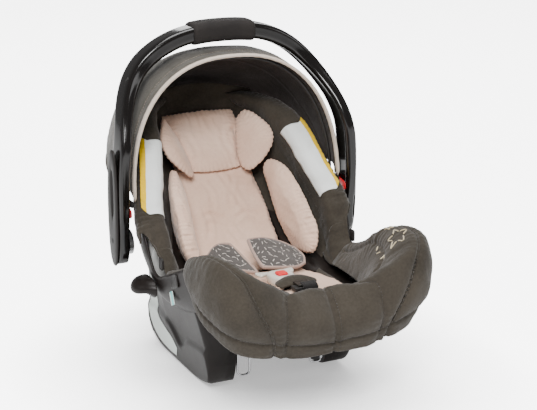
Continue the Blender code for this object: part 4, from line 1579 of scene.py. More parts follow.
@dataclass
class Pillow:
    """A pad worked out from a cage of its middle surface.

    The cage is smoothed to a fine grid whose corners are rounded, and the two faces stand off it
    by half the thickness times a crown that falls to the edge share at the border.
    """

    cage: Array
    thickness: float
    rows: int = 64
    columns: int = 56
    corner: float = 0.35
    edge: float = 0.34

    def middle(self) -> Array:
        """The smooth middle surface with rounded corners."""
        cage = np.asarray(self.cage, float)
        fine = resample(resample(cage, 81).transpose(1, 0, 2), 81).transpose(1, 0, 2)
        s = np.linspace(-1, 1, self.columns)[None, :]
        t = np.linspace(-1, 1, self.rows)[:, None]
        across = s * np.sqrt(1 - t**2 * self.corner / 2)
        along = t * np.sqrt(1 - s**2 * self.corner / 2)
        return sample(fine, (along + 1) * 40, (across + 1) * 40)

    def crown(self) -> Array:
        """Share of the thickness at each point: full in the middle, the edge share at the border."""
        s = np.abs(np.linspace(-1, 1, self.columns))[None, :]
        t = np.abs(np.linspace(-1, 1, self.rows))[:, None]
        dome = np.sqrt(np.clip(1 - s**4, 0, 1)) * np.sqrt(np.clip(1 - t**4, 0, 1))
        return self.edge + (1 - self.edge) * dome

    def build(self, name: str, top: Array | None = None) -> Piece:
        """Make the closed pad, with extra height on its upper face where top is given.

        Args:
            name: the pad's name.
            top: height to add at each point of its upper face.

        Returns:
            The pad.
        """
        middle = self.middle()
        normal = grid_normals(middle)
        half = self.crown()[:, :, None] * self.thickness / 2
        upper = middle + normal * half
        lower = middle - normal * half
        if top is not None:
            upper = upper + normal * top[:, :, None]
        count = self.rows * self.columns
        faces = quads(self.rows, self.columns)
        border, nxt = border_of(self.rows, self.columns)
        bulge = middle.reshape(-1, 3)[border]
        bulge = bulge + self.border_way(middle, border) * self.thickness * self.edge * 0.42
        rim = np.arange(len(border)) + 2 * count
        over = np.roll(rim, -1)
        wall = np.vstack([np.column_stack([border, nxt, over, rim]),
                          np.column_stack([rim, over, nxt + count, border + count])])
        points = np.vstack([upper.reshape(-1, 3), lower.reshape(-1, 3), bulge])
        flat = grid_uv(middle).reshape(-1, 2)
        obj = mesh_from(name, metres(points), np.vstack([faces, faces[:, ::-1] + count, wall]),
                        np.vstack([flat, flat, flat[border]]))
        outwards(obj)
        return obj

    def border_way(self, middle: Array, border: Array) -> Array:
        """Unit way out of the pad at each border point, in the plane of the pad.

        Args:
            middle: the pad's middle sheet.
            border: numbers of its border points, in order.

        Returns:
            The unit ways.
        """
        flat = middle.reshape(-1, 3)
        normal = grid_normals(middle).reshape(-1, 3)[border]
        run = np.roll(flat[border], -1, axis=0) - np.roll(flat[border], 1, axis=0)
        way = np.cross(run, normal)
        way /= np.maximum(np.linalg.norm(way, axis=1), 1e-9)[:, None]
        centre = flat[border] - flat.mean(axis=0)
        return way * np.where((way * centre).sum(axis=1) < 0, -1, 1)[:, None]

    def outline(self, share: float = 1.0) -> Array:
        """Closed line at a share of the way from the middle to the border.

        Args:
            share: 0 at the middle, 1 at the border.

        Returns:
            The line's points.
        """
        middle = self.middle()
        turn = np.linspace(0, 4, 241)
        s = np.interp(turn, (0, 1, 2, 3, 4), (-1, 1, 1, -1, -1)) * share
        t = np.interp(turn, (0, 1, 2, 3, 4), (-1, -1, 1, 1, -1)) * share
        return sample(middle, (t + 1) / 2 * (self.rows - 1), (s + 1) / 2 * (self.columns - 1))


def webbing(name: str, path: Array, sideways: tuple, width: float, thickness: float,
            curl: float = 0.0) -> Piece:
    """A flat strap along a smooth path, its middle raised above its edges by the curl.

    Args:
        name: the piece's name.
        path: knots of the middle line.
        sideways: the way of its width.
        width: its width.
        thickness: its thickness.
        curl: how far the middle stands above the edges.

    Returns:
        The strap.
    """
    line = resample(np.asarray(path, float), 90)
    side = np.asarray(sideways, float) / np.linalg.norm(sideways)
    share = np.linspace(-1, 1, 15)
    grid = line[:, None, :] + side[None, None, :] * (share * width / 2)[None, :, None]
    grid = displaced(grid, np.broadcast_to(curl * (1 - share**2), grid.shape[:2]), 1.0)
    obj = skin(name, grid)
    add_wall(obj, thickness, 0.0)
    return obj


# ---- canopy


@dataclass
class Canopy:
    """The folding hood: outer cloth, dark lining, cream binding, hem and bow."""

    turns: int = 201
    steps: int = 90
    lining_gap: float = 2.6

    def front(self, turn: Array) -> Array:
        """Front edge: a superellipse arch, leaning back as it rises."""
        angle = np.asarray(turn) * math.pi
        x = -189 * powered(np.cos(angle), 2 / 2.35)
        rise = np.abs(np.sin(angle)) ** (2 / 2.35)
        return np.column_stack([x, 28 + 26 * rise, 288 + 224 * rise])

    def rear(self, turn: Array) -> Array:
        """Rear hem, round the outside of the head end."""
        angle = np.asarray(turn) * math.pi
        x = -184 * powered(np.cos(angle), 2 / 2.9)
        back = np.abs(np.sin(angle)) ** (2 / 2.9)
        return np.column_stack([x, 96 + 205 * back, 286 + 62 * back**1.6])

    def grid(self, grow: float, first: float = 0.0) -> Array:
        """The hood between its edges, by distance and angle round the pivot line, with soft folds.

        Args:
            grow: distance that it is moved out.
            first: share of the way back at which it starts.

        Returns:
            The grid.
        """
        turns = np.linspace(0, 1, self.turns)
        part = np.linspace(first, 1, self.steps)[:, None]
        front, rear = self.front(turns), self.rear(turns)
        polar = [(edge[:, 0], np.hypot(edge[:, 1] - PIVOT_Y, edge[:, 2] - PIVOT_Z),
                  np.arctan2(edge[:, 2] - PIVOT_Z, edge[:, 1] - PIVOT_Y)) for edge in (front, rear)]
        swell = np.sin(part * math.pi)
        mid = np.sin(turns * math.pi)
        x = (polar[0][0] * (1 - part) + polar[1][0] * part) * (1 + 0.03 * swell)
        crown = 1 - np.abs(2 * part - 1) ** 3
        reach = polar[0][1] * (1 - part) + polar[1][1] * part + crown * (12 + 8 * mid)
        angle = polar[0][2] * (1 - part) + polar[1][2] * part
        grid = np.stack([x, PIVOT_Y + reach * np.cos(angle), PIVOT_Z + reach * np.sin(angle)], axis=2)
        folds = 1.5 * ripple(grid, 62.0, 5, (1.0, 1.6, 1.6)) * swell
        folds += 0.9 * ripple(grid, 26.0, 8, (1.8, 0.8, 0.8)) * bump(part, 0.95, 0.3)
        gather = 0.55 * np.sin(turns * 190 + 3 * np.sin(turns * 21))[None, :] * bump(part, 0.03, 0.06)
        channel = -1.6 * bump(part, 0.50, 0.010) - 1.2 * bump(part, 0.055, 0.008)
        tension = 1.2 * bump(part, 0.53, 0.04)
        return displaced(grid, folds + gather + channel + tension + grow, self.outward(grid))

    def outward(self, grid: Array) -> float:
        """Sign that makes the grid's normals point away from the pivot."""
        middle = grid.shape[0] // 2, grid.shape[1] // 2
        return facing(grid, *middle, grid[middle] - (0, PIVOT_Y, PIVOT_Z))

    def build(self) -> None:
        """Make the hood's pieces."""
        hood = self.grid(0.0, 0.004)
        sign = self.outward(hood)
        under = self.grid(-self.lining_gap, 0.012)
        outer = self.cloth("canopy_hood", hood, sign < 0, 1.6, Finish.CANOPY)
        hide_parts("canopy_fabric")
        lining = self.cloth("canopy_lining", under, sign > 0, 0.6, Finish.LINING)
        self.binding()
        out = grid_normals(hood) * sign
        threads = [dress(stitches(name, hood[row], out[row], 3.0, 2.0), Finish.THREAD)
                   for name, row in (("canopy_topstitch", 5), ("canopy_seam_thread", self.steps // 2 + 2))]
        for obj in (outer, lining, *threads):
            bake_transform(obj)
        for obj, grid in ((outer, hood), (lining, under)):
            flat, area = sheet_facts(grid)
        hem = round_bar("canopy_rear_hem", self.rear(np.linspace(0, 1, 121)) + (0, 0.6, -0.4), 2.6, 14)
        place_piece(hem, "root", Finish.CANOPY)
        for side in ("left", "right"):
            dress_node(f"canopy_clip_{side}", Finish.RECESS)

    def cloth(self, name: str, grid: Array, flip: bool, wall: float,
              finish: Finish) -> Piece:
        """One of the hood's two cloths, in its finish and with its thickness in millimetres.

        Args:
            name: the piece's name.
            grid: its points.
            flip: whether its faces are turned over.
            wall: its thickness.
            finish: its finish.

        Returns:
            The piece.
        """
        obj = skin(name, grid, flip=flip)
        add_wall(obj, wall, -1.0)
        return dress(obj, finish)

    def binding(self) -> None:
        """Cream tape folded over the front edge: a flat oval section, with its own stitches."""
        turns = np.linspace(0, 1, 221)
        path = self.front(turns) + (0, -4.6, 0)
        fade = tapered_ends(221, 0.012)
        wave = 1 + 0.06 * np.sin(turns * 260 + 2 * np.sin(turns * 37))
        rings = carried(path, (0, 1, 0), 4.7 * fade, 2.9 * fade * wave, 2.4, 20)
        tape = loft("canopy_binding", rings)
        place_piece(tape, "canopy", Finish.PIPING, ("canopy_piping",))
        run = np.gradient(path, axis=0)
        out = np.cross(run, (0, 1.0, 0))
        out /= np.linalg.norm(out, axis=1)[:, None]
        out *= np.sign((out * (path - (0, PIVOT_Y, PIVOT_Z))).sum(axis=1))[:, None]
        thread = stitches("binding_thread", path + out * 2.7 + (0, 2.6, 0), out, 2.4, 1.6, 0.35)
        place_piece(thread, "canopy", Finish.THREAD)
        bow = self.front(np.linspace(0.012, 0.988, 121)) * (0.973, 1, 1) + (0, 14, -7)
        rod = round_bar("canopy_bow_rod", bow, 3.0, 14)
        place_piece(rod, "canopy", Finish.RECESS, ("canopy_bow",))


# ---- cover


@dataclass
class Cover:
    """The padded cloth cover: the back with its wings, the seat and the foot wrap."""

    cloth: float = 3.2
    panel_top: float = 78.0
    back_rows: int = 190
    back_columns: int = 221
    wrap_rows: int = 96
    wrap_half: int = 150
    wing_short: float = 0.1
    label_corners: tuple = ((3.92, 7.5), (6.15, 7.5), (3.92, 3.8), (6.15, 4.0))
    hem: tuple = ((170, -62, 178), (168, -105, 190), (166, -150, 210), (173, -182, 228),
                  (184, -200, 216), (185, -226, 186), (174, -262, 157), (146, -298, 133),
                  (76, -318, 120), (0, -325, 119))
    face: tuple = ((171, -61, 184), (169, -104, 196), (167, -149, 216), (179, -178, 240),
                   (191, -201, 236), (193, -240, 224), (188, -282, 212), (162, -321, 197),
                   (80, -334, 172), (0, -333, 162))
    crest: tuple = ((165, -58, 188), (163, -100, 201), (161, -146, 224), (168, -174, 248),
                    (176, -201, 261), (177, -244, 272), (170, -286, 274), (140, -318, 256),
                    (70, -311, 217), (0, -296, 209))
    inner: tuple = ((152, -58, 180), (149, -100, 192), (144, -146, 214), (143, -174, 231),
                    (141, -201, 239), (134, -236, 242), (118, -266, 234), (90, -276, 210),
                    (46, -268, 196), (0, -262, 194))
    seat: tuple = ((134, -62, 158), (128, -100, 164), (123, -144, 168), (119, -172, 170),
                   (114, -198, 171), (104, -226, 173), (88, -246, 175), (62, -252, 177),
                   (32, -254, 178), (0, -254, 178))

    def build(self) -> None:
        """Make the cover's pieces."""
        self.back()
        self.head_panel()
        self.seat_panel()
        self.foot_wrap()

    def back(self) -> None:
        """Sections from head to hips, creased and gathered, with seams beside the back."""
        at = np.linspace(*FORM.back_range, self.back_rows)
        grid = FORM.well(at, FORM.back_section, self.back_columns)
        place = np.linspace(-10, 10, self.back_columns)[None, :]
        share = np.linspace(0, 1, self.back_rows)[:, None]
        short = 1 - self.wing_short * ramp(np.abs(place), 6.0, 8.5)
        cut = share * short * (self.back_rows - 1)
        grid = sample(grid, cut, np.broadcast_to(np.arange(self.back_columns), cut.shape))
        station = FORM.back_range[0] + share * short * (FORM.back_range[1] - FORM.back_range[0])
        wing = ramp(np.abs(place), 4.0, 6.0)
        rows = np.linspace(0, self.back_rows - 1, 240)
        seams, edge = ([Seam(sample(grid, rows, np.full(240, self.column(side * knot))), **facts)
                        for side in (-1, 1)] for knot, facts in (
            (3.3, {"depth": 2.4, "width": 2.4, "reach": 34, "puff": 3.0, "pucker": 0.5}),
            (8.0, {"depth": 1.4, "width": 2.2, "reach": 12, "puff": 2.2, "pucker": 0.9, "pitch": 9.0})))
        height = sewn(grid, seams, 3) * 0.9 + sewn(grid, edge, 7) * wing
        gathers = np.sin(station * 11 + 2.3 * np.sin(place * 0.9 + station * 1.7) + place * 0.25)
        height += 1.5 * gathers * wing * ramp(station, 4.2, 5.8) * (0.6 + 0.4 * np.sin(place * 1.3))
        height += 2.0 * ripple(grid, 58.0, 21, (0.8, 1.4, 1.4)) + 0.9 * ripple(grid, 22.0, 4)
        height += 2.2 * bump(place, 1.4, 0.5) * ramp(station, 0.9, 1.3) * (1 - ramp(station, 1.6, 2.6))
        height *= 0.5 + 0.5 * ramp(10 - np.abs(place), 0.0, 1.5)
        out = self.inward(grid)
        grid = displaced(grid, height, out)
        self.panel("cover_back_cloth", grid, out, self.cloth, 0.3, ("cover_back",))
        normal = grid_normals(grid) * out
        for side, mirror in SIDES:
            beside = np.full(240, self.column(mirror * 3.3) + mirror * 3)
            line, way = sample(grid, rows, beside), sample(normal, rows, beside)
            place_piece(stitches(f"back_seam_thread_{side}", line, way, 2.8, 2.0), "root",
                        Finish.DARK_THREAD)
            self.labels(side, mirror, grid, normal)
            self.gusset(side, mirror, grid)

    def column(self, place: float | Array) -> float | Array:
        """Column of the back's grid at a place across it, from -10 to 10."""
        return (place + 10) / 20 * (self.back_columns - 1)

    def panel(self, name: str, grid: Array, out: float, wall: float, fill: float,
              stands_for: tuple = ()) -> None:
        """Make one padded panel of the cover.

        Args:
            name: the piece's name.
            grid: its points.
            out: sign that makes the grid's normals point out of the padding.
            wall: thickness of its cloth.
            fill: not used.
            stands_for: CAD nodes that it replaces.
        """
        obj = skin(name, grid, flip=bool(out < 0))
        add_wall(obj, wall, -1.0)
        place_piece(obj, "root", Finish.COVER, stands_for)

    def gusset(self, side: str, mirror: float, grid: Array) -> None:
        """Cloth inside the valley, from the back's lower edge down to the start of the wrap.

        Args:
            side: left or right, for the name.
            mirror: -1 on the left, 1 on the right.
            grid: the back's points.
        """
        columns = self.column(mirror * np.linspace(3.0, 7.2, 40))
        upper = sample(grid, np.full(40, self.back_rows - 4.0), columns)
        lines = np.array([rows[0] for rows in (self.seat, self.inner, self.crest, self.face)], float)
        lower = resample(lines * (mirror, 1, 1), 40) + (0, -6, -1)
        share = np.linspace(0, 1, 30)[:, None, None]
        cloth = upper[None] * (1 - share) + lower[None] * share
        cloth = cloth + np.array([-3.0 * mirror, 0, -3.0]) * np.sin(share * math.pi)
        out = facing(cloth, 15, 20, (-mirror, 0, 0))
        cloth = displaced(cloth, 1.2 * ripple(cloth, 26.0, 14, (1, 0.7, 1)), out)
        self.panel(f"cover_gusset_{side}", cloth, out, 2.0, 0.2)

    def inward(self, grid: Array) -> float:
        """Sign that makes the back grid's normals point at the sitter."""
        return facing(grid, grid.shape[0] // 2, grid.shape[1] // 2, (0, -0.7, 0.7))

    def labels(self, side: str, mirror: float, grid: Array, normal: Array) -> None:
        """A blank sewn label on each wing, with a plain yellow band along its outer edge.

        Args:
            side: left or right, for the names.
            mirror: -1 on the left, 1 on the right.
            grid: the back's points.
            normal: its outward normals.
        """
        low, high = FORM.back_range
        nodes = [np.array([(station - low) / (high - low) * (self.back_rows - 1),
                           self.column(mirror * place)])
                 for station, place in self.label_corners]
        outer0, outer1, inner0, inner1 = nodes
        split0, split1 = outer0 + (inner0 - outer0) * 0.24, outer1 + (inner1 - outer1) * 0.24
        for name, corners, lift, finish in (
                ("label_field", (split0, split1, inner0, inner1), 0.7, Finish.LABEL),
                ("label_band", (outer0, outer1, split0, split1), 0.75, Finish.BAND)):
            patch = strip_on(grid, normal, list(corners), 70, 26, lift)
            flip = grid_normals(patch)[35, 13] @ sample(normal, *nodes[2]) < 0
            obj = skin(f"{name}_{side}", patch, flip=bool(flip))
            add_wall(obj, 0.5, 0.0)
            place_piece(obj, "root", finish)

    def head_panel(self) -> None:
        """Loose cloth that climbs from the back's top edge behind the hood, with long folds."""
        across = np.linspace(-1, 1, 121)[None, :]
        up = np.linspace(0, 1, 60)[:, None]
        half = 136 - 34 * up ** 2
        rise = self.panel_top * up * (1 - 0.2 * across ** 2)
        cloth = np.stack([across * half, 228 + 16 * up - 34 * across ** 2 * (1 - 0.3 * up),
                          352 + rise + 0 * across], axis=2)
        cloth = cloth - (0, DATUM_SHIFT, 0)
        out = facing(cloth, 30, 60, (0, -1, 0))
        folds = np.sin(13 * across + 2.2 * np.sin(2.6 * up + 1.1) + 0.8) * (1 - 0.5 * up)
        height = 2.6 * folds + 2.2 * ripple(cloth, 46.0, 31, (1.6, 1, 0.6))
        cloth = displaced(cloth, height * ramp(1 - np.abs(across), 0, 0.2), out)
        self.panel("cover_head_cloth", cloth, out, 2.2, 0.2)

    def seat_panel(self) -> None:
        """Flat quilted panel under the seat pad."""
        at = np.linspace(*FORM.seat_range, 80)
        grid = FORM.well(at, FORM.seat_section, 81)
        out = facing(grid, 40, 40, (0, 0, 1))
        grid = displaced(grid, 0.8 * ripple(grid, 40.0, 17), out)
        self.panel("cover_seat_cloth", grid, out, self.cloth, 0.2, ("cover_seat",))

    def wrap_grid(self) -> Array:
        """The wrap's five lines joined by curves, from the hem up over the crest to the seat."""
        lines = np.array([mirrored_line(rows, self.wrap_half)
                          for rows in (self.hem, self.face, self.crest, self.inner, self.seat)])
        return resample(lines, self.wrap_rows)

    def on_wrap(self, knots: tuple, mirror: float, count: int = 160) -> tuple[Array, Array]:
        """Grid rows and columns along a seam given by line number and place along the lines."""
        curve = resample(np.array(knots, float), count)
        rows = curve[:, 0] / 4 * (self.wrap_rows - 1)
        half = curve[:, 1] / 9 * (self.wrap_half - 1)
        return rows, half if mirror < 0 else 2 * (self.wrap_half - 1) - half

    def foot_wrap(self) -> None:
        """Puffed panels between a piped side seam, three channels over the roll and the hem."""
        grid = self.wrap_grid()
        side_seam = ((2.0, 3.3), (2.1, 4.2), (2.14, 5.2), (2.1, 6.1), (1.9, 6.85), (1.5, 7.3),
                     (0.95, 7.62), (0.5, 7.72), (0.0, 7.75))
        channel = ((3.6, 8.3), (3.0, 8.25), (2.0, 7.95), (1.0, 7.98), (0.0, 7.95))
        middle = ((3.7, 9.0), (2.0, 9.0), (0.0, 9.0))
        hem = ((0.36, 5.2), (0.40, 6.2), (0.40, 7.5), (0.40, 9.0))
        valley = ((3.05, 0.0), (3.05, 4.5), (3.1, 7.0), (3.15, 9.0))
        pleats = [((2.15, k), (2.6, k + 0.12), (3.1, k + 0.2)) for k in (2.9, 3.7)]
        seams = []
        for mirror in (-1.0, 1.0):
            for knots, facts in ((side_seam, {"depth": 5.0, "width": 3.0, "puff": 9.0, "reach": 30}),
                                 (channel, {"depth": 3.0, "width": 2.6, "puff": 5.5, "reach": 26}),
                                 (hem, {"depth": 2.4, "width": 2.0, "puff": 4.0, "reach": 10}),
                                 (valley, {"depth": 2.5, "width": 3.4, "puff": 5.5, "reach": 26})):
                seams.append(Seam(sample(grid, *self.on_wrap(knots, mirror)), **facts))
            seams += [Seam(sample(grid, *self.on_wrap(knots, mirror, 60)), depth=1.6, width=3.2,
                           reach=8, puff=4.0, pucker=0.2) for knots in pleats]
        seams.append(Seam(sample(grid, *self.on_wrap(middle, -1.0)), depth=3.0, width=2.6, puff=5.5,
                          reach=26))
        height = sewn(grid, seams, 11)
        height += 1.0 * ripple(grid, 48.0, 31) + 0.45 * ripple(grid, 19.0, 12)
        share = np.linspace(0, 1, grid.shape[1])[None, :]
        height *= ramp(share, 0.0, 0.03) * (1 - ramp(share, 0.97, 1.0)) * 0.8 + 0.2
        out = facing(grid, 24, self.wrap_half, (0, -1.0, 0.1))
        grid = displaced(grid, height, out)
        self.panel("foot_wrap", grid, out, self.cloth, 0.55, ("cover_foot",))
        normal = grid_normals(grid) * out
        self.wrap_threads(grid, normal, side_seam, (channel, hem), middle)
        self.star(grid, normal)

    def wrap_threads(self, grid: Array, normal: Array, piped: tuple, sewn_lines: tuple,
                     middle: tuple) -> None:
        """A cord in the side seam, and rows of stitches along the channels and the hem.

        Args:
            grid: the wrap's points.
            normal: its outward normals.
            piped: the side seam, which holds the cord.
            sewn_lines: the channel and the hem.
            middle: the seam down the middle.
        """
        for side, mirror in SIDES:
            rows, columns = self.on_wrap(piped, mirror)
            line = sample(grid, rows, columns) + sample(normal, rows, columns) * 1.2
            place_piece(round_bar(f"wrap_piping_{side}", line, 1.7, 10), "root", Finish.COVER)
            for number, knots in enumerate(sewn_lines):
                rows, columns = self.on_wrap(knots, mirror, 300)
                self.thread(f"wrap_thread_{number}_{side}", grid, normal, rows + 1.6, columns)
        rows, columns = self.on_wrap(middle, -1.0, 300)
        self.thread("wrap_thread_middle", grid, normal, rows, columns + 1.6)

    def thread(self, name: str, grid: Array, normal: Array, rows: Array, columns: Array) -> None:
        """A row of stitches on the wrap.

        Args:
            name: the piece's name.
            grid: the wrap's points.
            normal: its outward normals.
            rows: row numbers along the seam.
            columns: column numbers along the seam.
        """
        place_piece(stitches(name, sample(grid, rows, columns), sample(normal, rows, columns), 2.8, 1.8),
                    "root", Finish.DARK_THREAD)

    def star(self, grid: Array, normal: Array) -> None:
        """Plain embroidered star outline with loose dashes beside it, on the right-hand roll.

        Args:
            grid: the wrap's points.
            normal: its outward normals.
        """
        centre = nearest_node(grid, (154, -258, 252))
        turn = np.linspace(0, 2 * math.pi, 11)
        reach = np.where(np.arange(11) % 2 == 0, 1.0, 0.46)
        points = np.column_stack([np.cos(turn + 0.5), np.sin(turn + 0.5)]) * reach[:, None]
        drawn = []
        for size, shift in ((1.35, (0.0, 0.0)), (0.6, (-0.5, 2.3))):
            for first, second in zip(points[:-1], points[1:]):
                ends = np.linspace(0.08, 0.92, 2)[:, None]
                drawn.append((first * (1 - ends) + second * ends) * size + np.array(shift))
        for number, (along, over) in enumerate(((1.9, -0.9), (2.3, -0.1), (2.7, 0.8), (2.5, 1.9))):
            drawn.append(np.array([[along, over], [along + 0.5, over + 0.3 * (-1) ** number]]))
        for number, ends in enumerate(drawn):
            share = np.linspace(0, 1, 9)[:, None]
            line = ends[0] * (1 - share) + ends[-1] * share
            rows = centre[0] + line[:, 0] * 5.0
            columns = centre[1] + line[:, 1] * 9.0
            place = sample(grid, rows, columns) + sample(normal, rows, columns) * 0.5
            place_piece(round_bar(f"star_stitch_{number}", place, 1.0, 8), "root", Finish.STAR_THREAD)


# ---- insert


@dataclass
class Insert:
    """The rose-beige padded insert: back, seat and head pads, head wings and side bolsters."""

    voxel: float = 0.0032
    pressure: float = 4.0
    bolster_cage: tuple = (((82, 118, 300), (90, 100, 310), (96, 84, 318)),
                           ((88, 92, 258), (99, 66, 280), (106, 46, 296)),
                           ((92, 56, 212), (105, 24, 238), (113, 0, 256)),
                           ((95, 26, 178), (109, -14, 200), (116, -34, 214)),
                           ((94, -10, 168), (103, -40, 176), (110, -52, 184)))
    wing_cage: tuple = (((70, 196, 368), (79, 178, 384), (89, 162, 388)),
                        ((61, 172, 348), (83, 142, 364), (105, 124, 364)),
                        ((50, 146, 318), (76, 116, 333), (102, 104, 335)),
                        ((42, 116, 286), (58, 103, 292), (76, 94, 300)))

    def build(self) -> None:
        """Make the insert's pads."""
        self.flat_pad("back_pad", ((3.2, 72), (4.2, 78), (5.1, 83), (6.0, 86), (7.3, 86)), 9.0, 11.0, 5.0)
        self.flat_pad("seat_pad", ((7.95, 86), (8.8, 96), (9.7, 97), (10.6, 88), (11.2, 70)), 9.0, 11.0,
                      4.0)
        self.flat_pad("head_pad", ((1.85, 73), (2.6, 71), (3.4, 61), (4.25, 49)), 24.0, 12.0, 5.0)
        for side, mirror in SIDES:
            self.side_pad(f"insert_bolster_{side}", self.bolster_cage, mirror, 24.0, 0.5, 7.0)
            self.side_pad(f"head_wing_{side}", self.wing_cage, mirror, 15.0, 0.6, 5.0)

    def flat_pad(self, node: str, rows: tuple, lift: float, thickness: float, swell: float) -> None:
        """A pad on the cover's floor: its cage is the floor lifted, between its own half widths.

        Args:
            node: the CAD node that it stands for.
            rows: station and half width of each row of the cage.
            lift: height of its middle above the cover's floor.
            thickness: its thickness.
            swell: furthest that the filling pushes it out.
        """
        cage = [[FORM.on_floor(np.array([at]), np.array([x]), lift)[0] for x in (-w, -w / 3, w / 3, w)]
                for at, w in rows]
        pillow = Pillow(np.array(cage), thickness * 0.82, corner=0.22, edge=0.5)
        self.fill(node, pillow, swell, 0.6)

    def side_pad(self, node: str, cage: tuple, mirror: float, thickness: float, corner: float,
                 swell: float) -> None:
        """A bolster or head wing from its own cage."""
        pillow = Pillow(np.array(cage, float) * (mirror, 1, 1), thickness * 0.8, corner=corner, edge=0.4)
        self.fill(node, pillow, swell, 0.75)

    def fill(self, node: str, pillow: Pillow, swell: float, fill: float) -> None:
        """Fill a pad, then press its border seam, puckers and wrinkles into the cloth.

        Args:
            node: the CAD node that it stands for.
            pillow: its form.
            swell: cap on the filling's push, in millimetres.
            fill: not used.
        """
        obj = pillow.build(f"{node}_cloth")
        inflate(obj, self.voxel, self.pressure, swell * MM)
        border = pillow.outline(1.0)
        seam = Seam(border, depth=1.4, width=2.0, reach=16, puff=0.8, pucker=0.9, pitch=8.5)
        seed = len(node) * 7 + ord(node[-1])
        creases = self.creases(node)

        def height(points: Array) -> Array:
            """Border seam, long soft wrinkles and fine ones, and the pad's own creases.

            Args:
                points: points of the upper face.

            Returns:
                The height at each.
            """
            base = sewn(points, [seam], seed) - 0.8
            base += 0.7 * ripple(points, 34.0, seed, (1.2, 1, 1)) + 0.3 * ripple(points, 13.0, seed + 1)
            for line, depth, width in creases:
                distance, along = nearest(points, line)
                fade = np.sin(np.clip(along / along.max(), 0, 1) * math.pi) ** 0.5
                base += depth * fade * (-bump(distance, 0, width) + 0.6 * bump(distance, 2.2 * width, width))
            return base

        relief(obj, height, 1)
        place_piece(obj, "root", Finish.INSERT, (node,))

    def creases(self, node: str) -> list:
        """Creases pressed into a pad by use: line, depth and width of each.

        Args:
            node: the pad's name in the record.

        Returns:
            The creases, or none for an unknown pad.
        """
        pressed = {"head_pad": (30.0, 1.7, 4.2), "back_pad": (15.0, 2.6, 4.0)}
        drawn = {"head_pad": (((-22, 2.0), (-18, 2.6), (-24, 3.2)), ((20, 1.95), (10, 2.6), (18, 3.3)),
                              ((44, 2.6), (26, 3.3), (36, 4.0)), ((-40, 3.0), (-30, 3.6), (-38, 4.0))),
                 "back_pad": (((-30, 4.4), (-22, 4.75), (-26, 5.2)), ((2, 4.1), (14, 4.6), (8, 5.1)),
                              ((30, 4.3), (20, 4.7), (34, 5.3)), ((-58, 5.35), (-34, 5.25), (-12, 5.4)),
                              ((8, 5.45), (32, 5.3), (52, 5.45)), ((-46, 4.9), (-40, 5.5), (-52, 6.0)),
                              ((-8, 5.5), (0, 5.8), (10, 6.3)))}
        if node not in drawn:
            return []
        lift, depth, width = pressed[node]
        curves = [resample(np.array(knots, float), 30) for knots in drawn[node]]
        return [(FORM.on_floor(curve[:, 1], curve[:, 0], lift), depth, width) for curve in curves]


# ---- harness


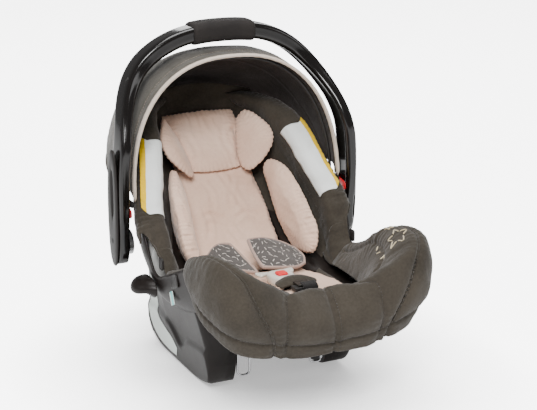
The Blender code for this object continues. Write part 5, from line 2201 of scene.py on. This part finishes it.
@dataclass
class Harness:
    """Webbing, printed pads, buckle, tongues and the adjuster."""

    width: float = 38.0
    thickness: float = 1.6
    pad_thickness: float = 8.0
    left_pad: tuple = (((-90, -32, 190), (-88, -52, 189), (-82, -72, 184)),
                       ((-62, -14, 204), (-58, -46, 194), (-50, -84, 181)),
                       ((-38, -18, 208), (-31, -60, 193), (-19, -100, 175)))
    right_pad: tuple = (((-7, -14, 209), (-9, -52, 194), (-12, -88, 180)),
                        ((22, -16, 207), (25, -54, 192), (27, -92, 177)),
                        ((52, -24, 199), (57, -56, 185), (54, -90, 174)),
                        ((74, -42, 189), (79, -60, 181), (73, -82, 175)))

    def build(self) -> None:
        """Make the harness pieces."""
        self.straps()
        self.pad("left", self.left_pad)
        self.pad("right", self.right_pad)
        self.buckle()
        self.tongues()
        self.adjuster()

    def straps(self) -> None:
        """Shoulder straps, crotch strap and adjuster tail."""
        for side, mirror in SIDES:
            path = [(mirror * x, y, z) for x, y, z in
                    ((36, -4, 190), (36, -18, 184), (36, -32, 177), (36, -46, 172), (36, -60, 168.5))]
            obj = webbing(f"shoulder_webbing_{side}", path, (1, 0, 0), self.width - 8, self.thickness)
            place_piece(obj, "root", Finish.WEBBING, (f"shoulder_strap_{side}",))
        for name, node, path, width in (
                ("crotch_webbing", "crotch_strap", ((0, -169, 173.4), (0, -177, 173.6), (0, -183, 175.5),
                                                    (0, -185, 178.5), (0, -181, 181.5), (0, -173, 181),
                                                    (0, -162.6, 179)), 34),
                ("adjuster_webbing", "adjuster_strap", ((0, -233, 190), (0, -240, 191), (0, -246, 196),
                                                        (0, -243, 201), (0, -232, 203)), 25)):
            place_piece(webbing(name, path, (1, 0, 0), width, self.thickness), "root", Finish.WEBBING,
                        (node,))

    def pad(self, side: str, cage: tuple) -> None:
        """A printed pad with bound edges: a thin pillow and a tape round its outline.

        Args:
            side: left or right, for the names.
            cage: rows of points that the pad's middle sheet runs through.
        """
        pillow = Pillow(np.array(cage, float), self.pad_thickness, 60, 60, 0.3, 0.35)
        middle = pillow.middle()
        obj = pillow.build(f"harness_cushion_{side}", 0.7 * ripple(middle, 24.0, 3 if side == "left" else 6))
        place_piece(obj, "root", Finish.DASHES, (f"harness_pad_{side}",))
        loop = pillow.outline(0.985)
        rings = carried(loop, grid_normals(middle).mean(axis=(0, 1)), np.full(len(loop), 3.1),
                        np.full(len(loop), 2.6), 2.4, 14)
        tape = loft(f"harness_binding_{side}", rings)
        place_piece(tape, "root", Finish.BINDING)

    def nested(self, centre: tuple, levels: tuple, power: float, count: int = 64) -> Array:
        """Rings of a superellipse at rising levels: height, half width, half length and y shift.

        Args:
            centre: x and y of its middle.
            levels: height, half width, half length and y shift of each.
            power: squareness of the outline.
            count: points in each ring.

        Returns:
            The rings.
        """
        cos, sin = rounded(count, power)
        return np.array([np.column_stack([centre[0] + wide * cos, centre[1] + shift + deep * sin,
                                          np.full(count, height)])
                         for height, wide, deep, shift in levels])

    def buckle(self) -> None:
        """Pale body that narrows towards the crotch strap, with a pocket for the red button."""
        body = self.nested((0, -140), ((170, 17, 19, 0), (171.5, 20, 21.5, 0), (182, 21, 22, 0),
                                       (185.5, 20, 21, 0), (187, 17.5, 18.5, 0), (187.2, 11.2, 11.4, 0),
                                       (186.4, 10.2, 10.4, 0), (181.4, 10.0, 10.2, 0),
                                       (181.4, 4.0, 4.0, 0)), 4.2)
        taper = 1 - 0.22 * ramp(-140 - body[:, :, 1], 4, 22)
        body[:, :, 0] *= np.where(np.arange(9)[:, None] < 5, taper, 1.0)
        place_piece(loft("buckle_case", body), "root", Finish.BUCKLE, ("buckle_body",))
        cap = self.nested((0, -140), ((182.6, 8.9, 8.9, 0), (188.4, 8.9, 8.9, 0), (189.3, 8.3, 8.3, 0),
                                      (189.6, 7.2, 7.2, 0), (189.2, 3.0, 3.0, 0)), 5.0)
        place_piece(loft("buckle_press", cap), "buckle_release", Finish.RED,
                    ("buckle_button",))

    def tongues(self) -> None:
        """Two pale tongues that meet behind the buckle, each widening towards its outer end."""
        for side, mirror in SIDES:
            part = np.linspace(0, 1, 26)
            path = np.column_stack([mirror * (3 + 30 * part), -112 - 6 * part**2, 178 + 3 * part])
            fade = tapered_ends(26, 0.1)
            rings = carried(path, (0, 1, 0), (5.0 + 3.5 * ramp(part, 0.4, 0.9)) * fade, 2.7 * fade, 4.0, 28)
            obj = loft(f"tongue_plate_{side}", rings)
            place_piece(obj, "root", Finish.BUCKLE, (f"buckle_tongue_{side}",))

    def adjuster(self) -> None:
        """Dark housing and lever of the adjuster, with a cloth lip in front of it."""
        dress_node("adjuster_housing", Finish.RECESS)
        dress_node("adjuster_lever", Finish.HUB)
        cage = (((-33, -204, 186), (-11, -205, 190), (11, -205, 190), (33, -204, 186)),
                ((-35, -193, 189), (-11, -192, 196), (11, -192, 196), (35, -193, 189)),
                ((-32, -178, 187), (-11, -177, 194), (11, -177, 194), (32, -178, 187)))
        lip = Pillow(np.array(cage, float), 4.5, 30, 50, 0.4, 0.5).build("adjuster_lip")
        place_piece(lip, "root", Finish.COVER)


def main() -> None:
    """Build the studio and every sub-assembly."""
    logging.basicConfig(level=logging.INFO, format="%(name)s: %(message)s")
    for part in (Studio(), Shell(), Base(), Handle(), Canopy(), Cover(), Insert(), Harness()):
        LOG.info("building %s", type(part).__name__)
        part.build()


if __name__ == "__main__":
    main()
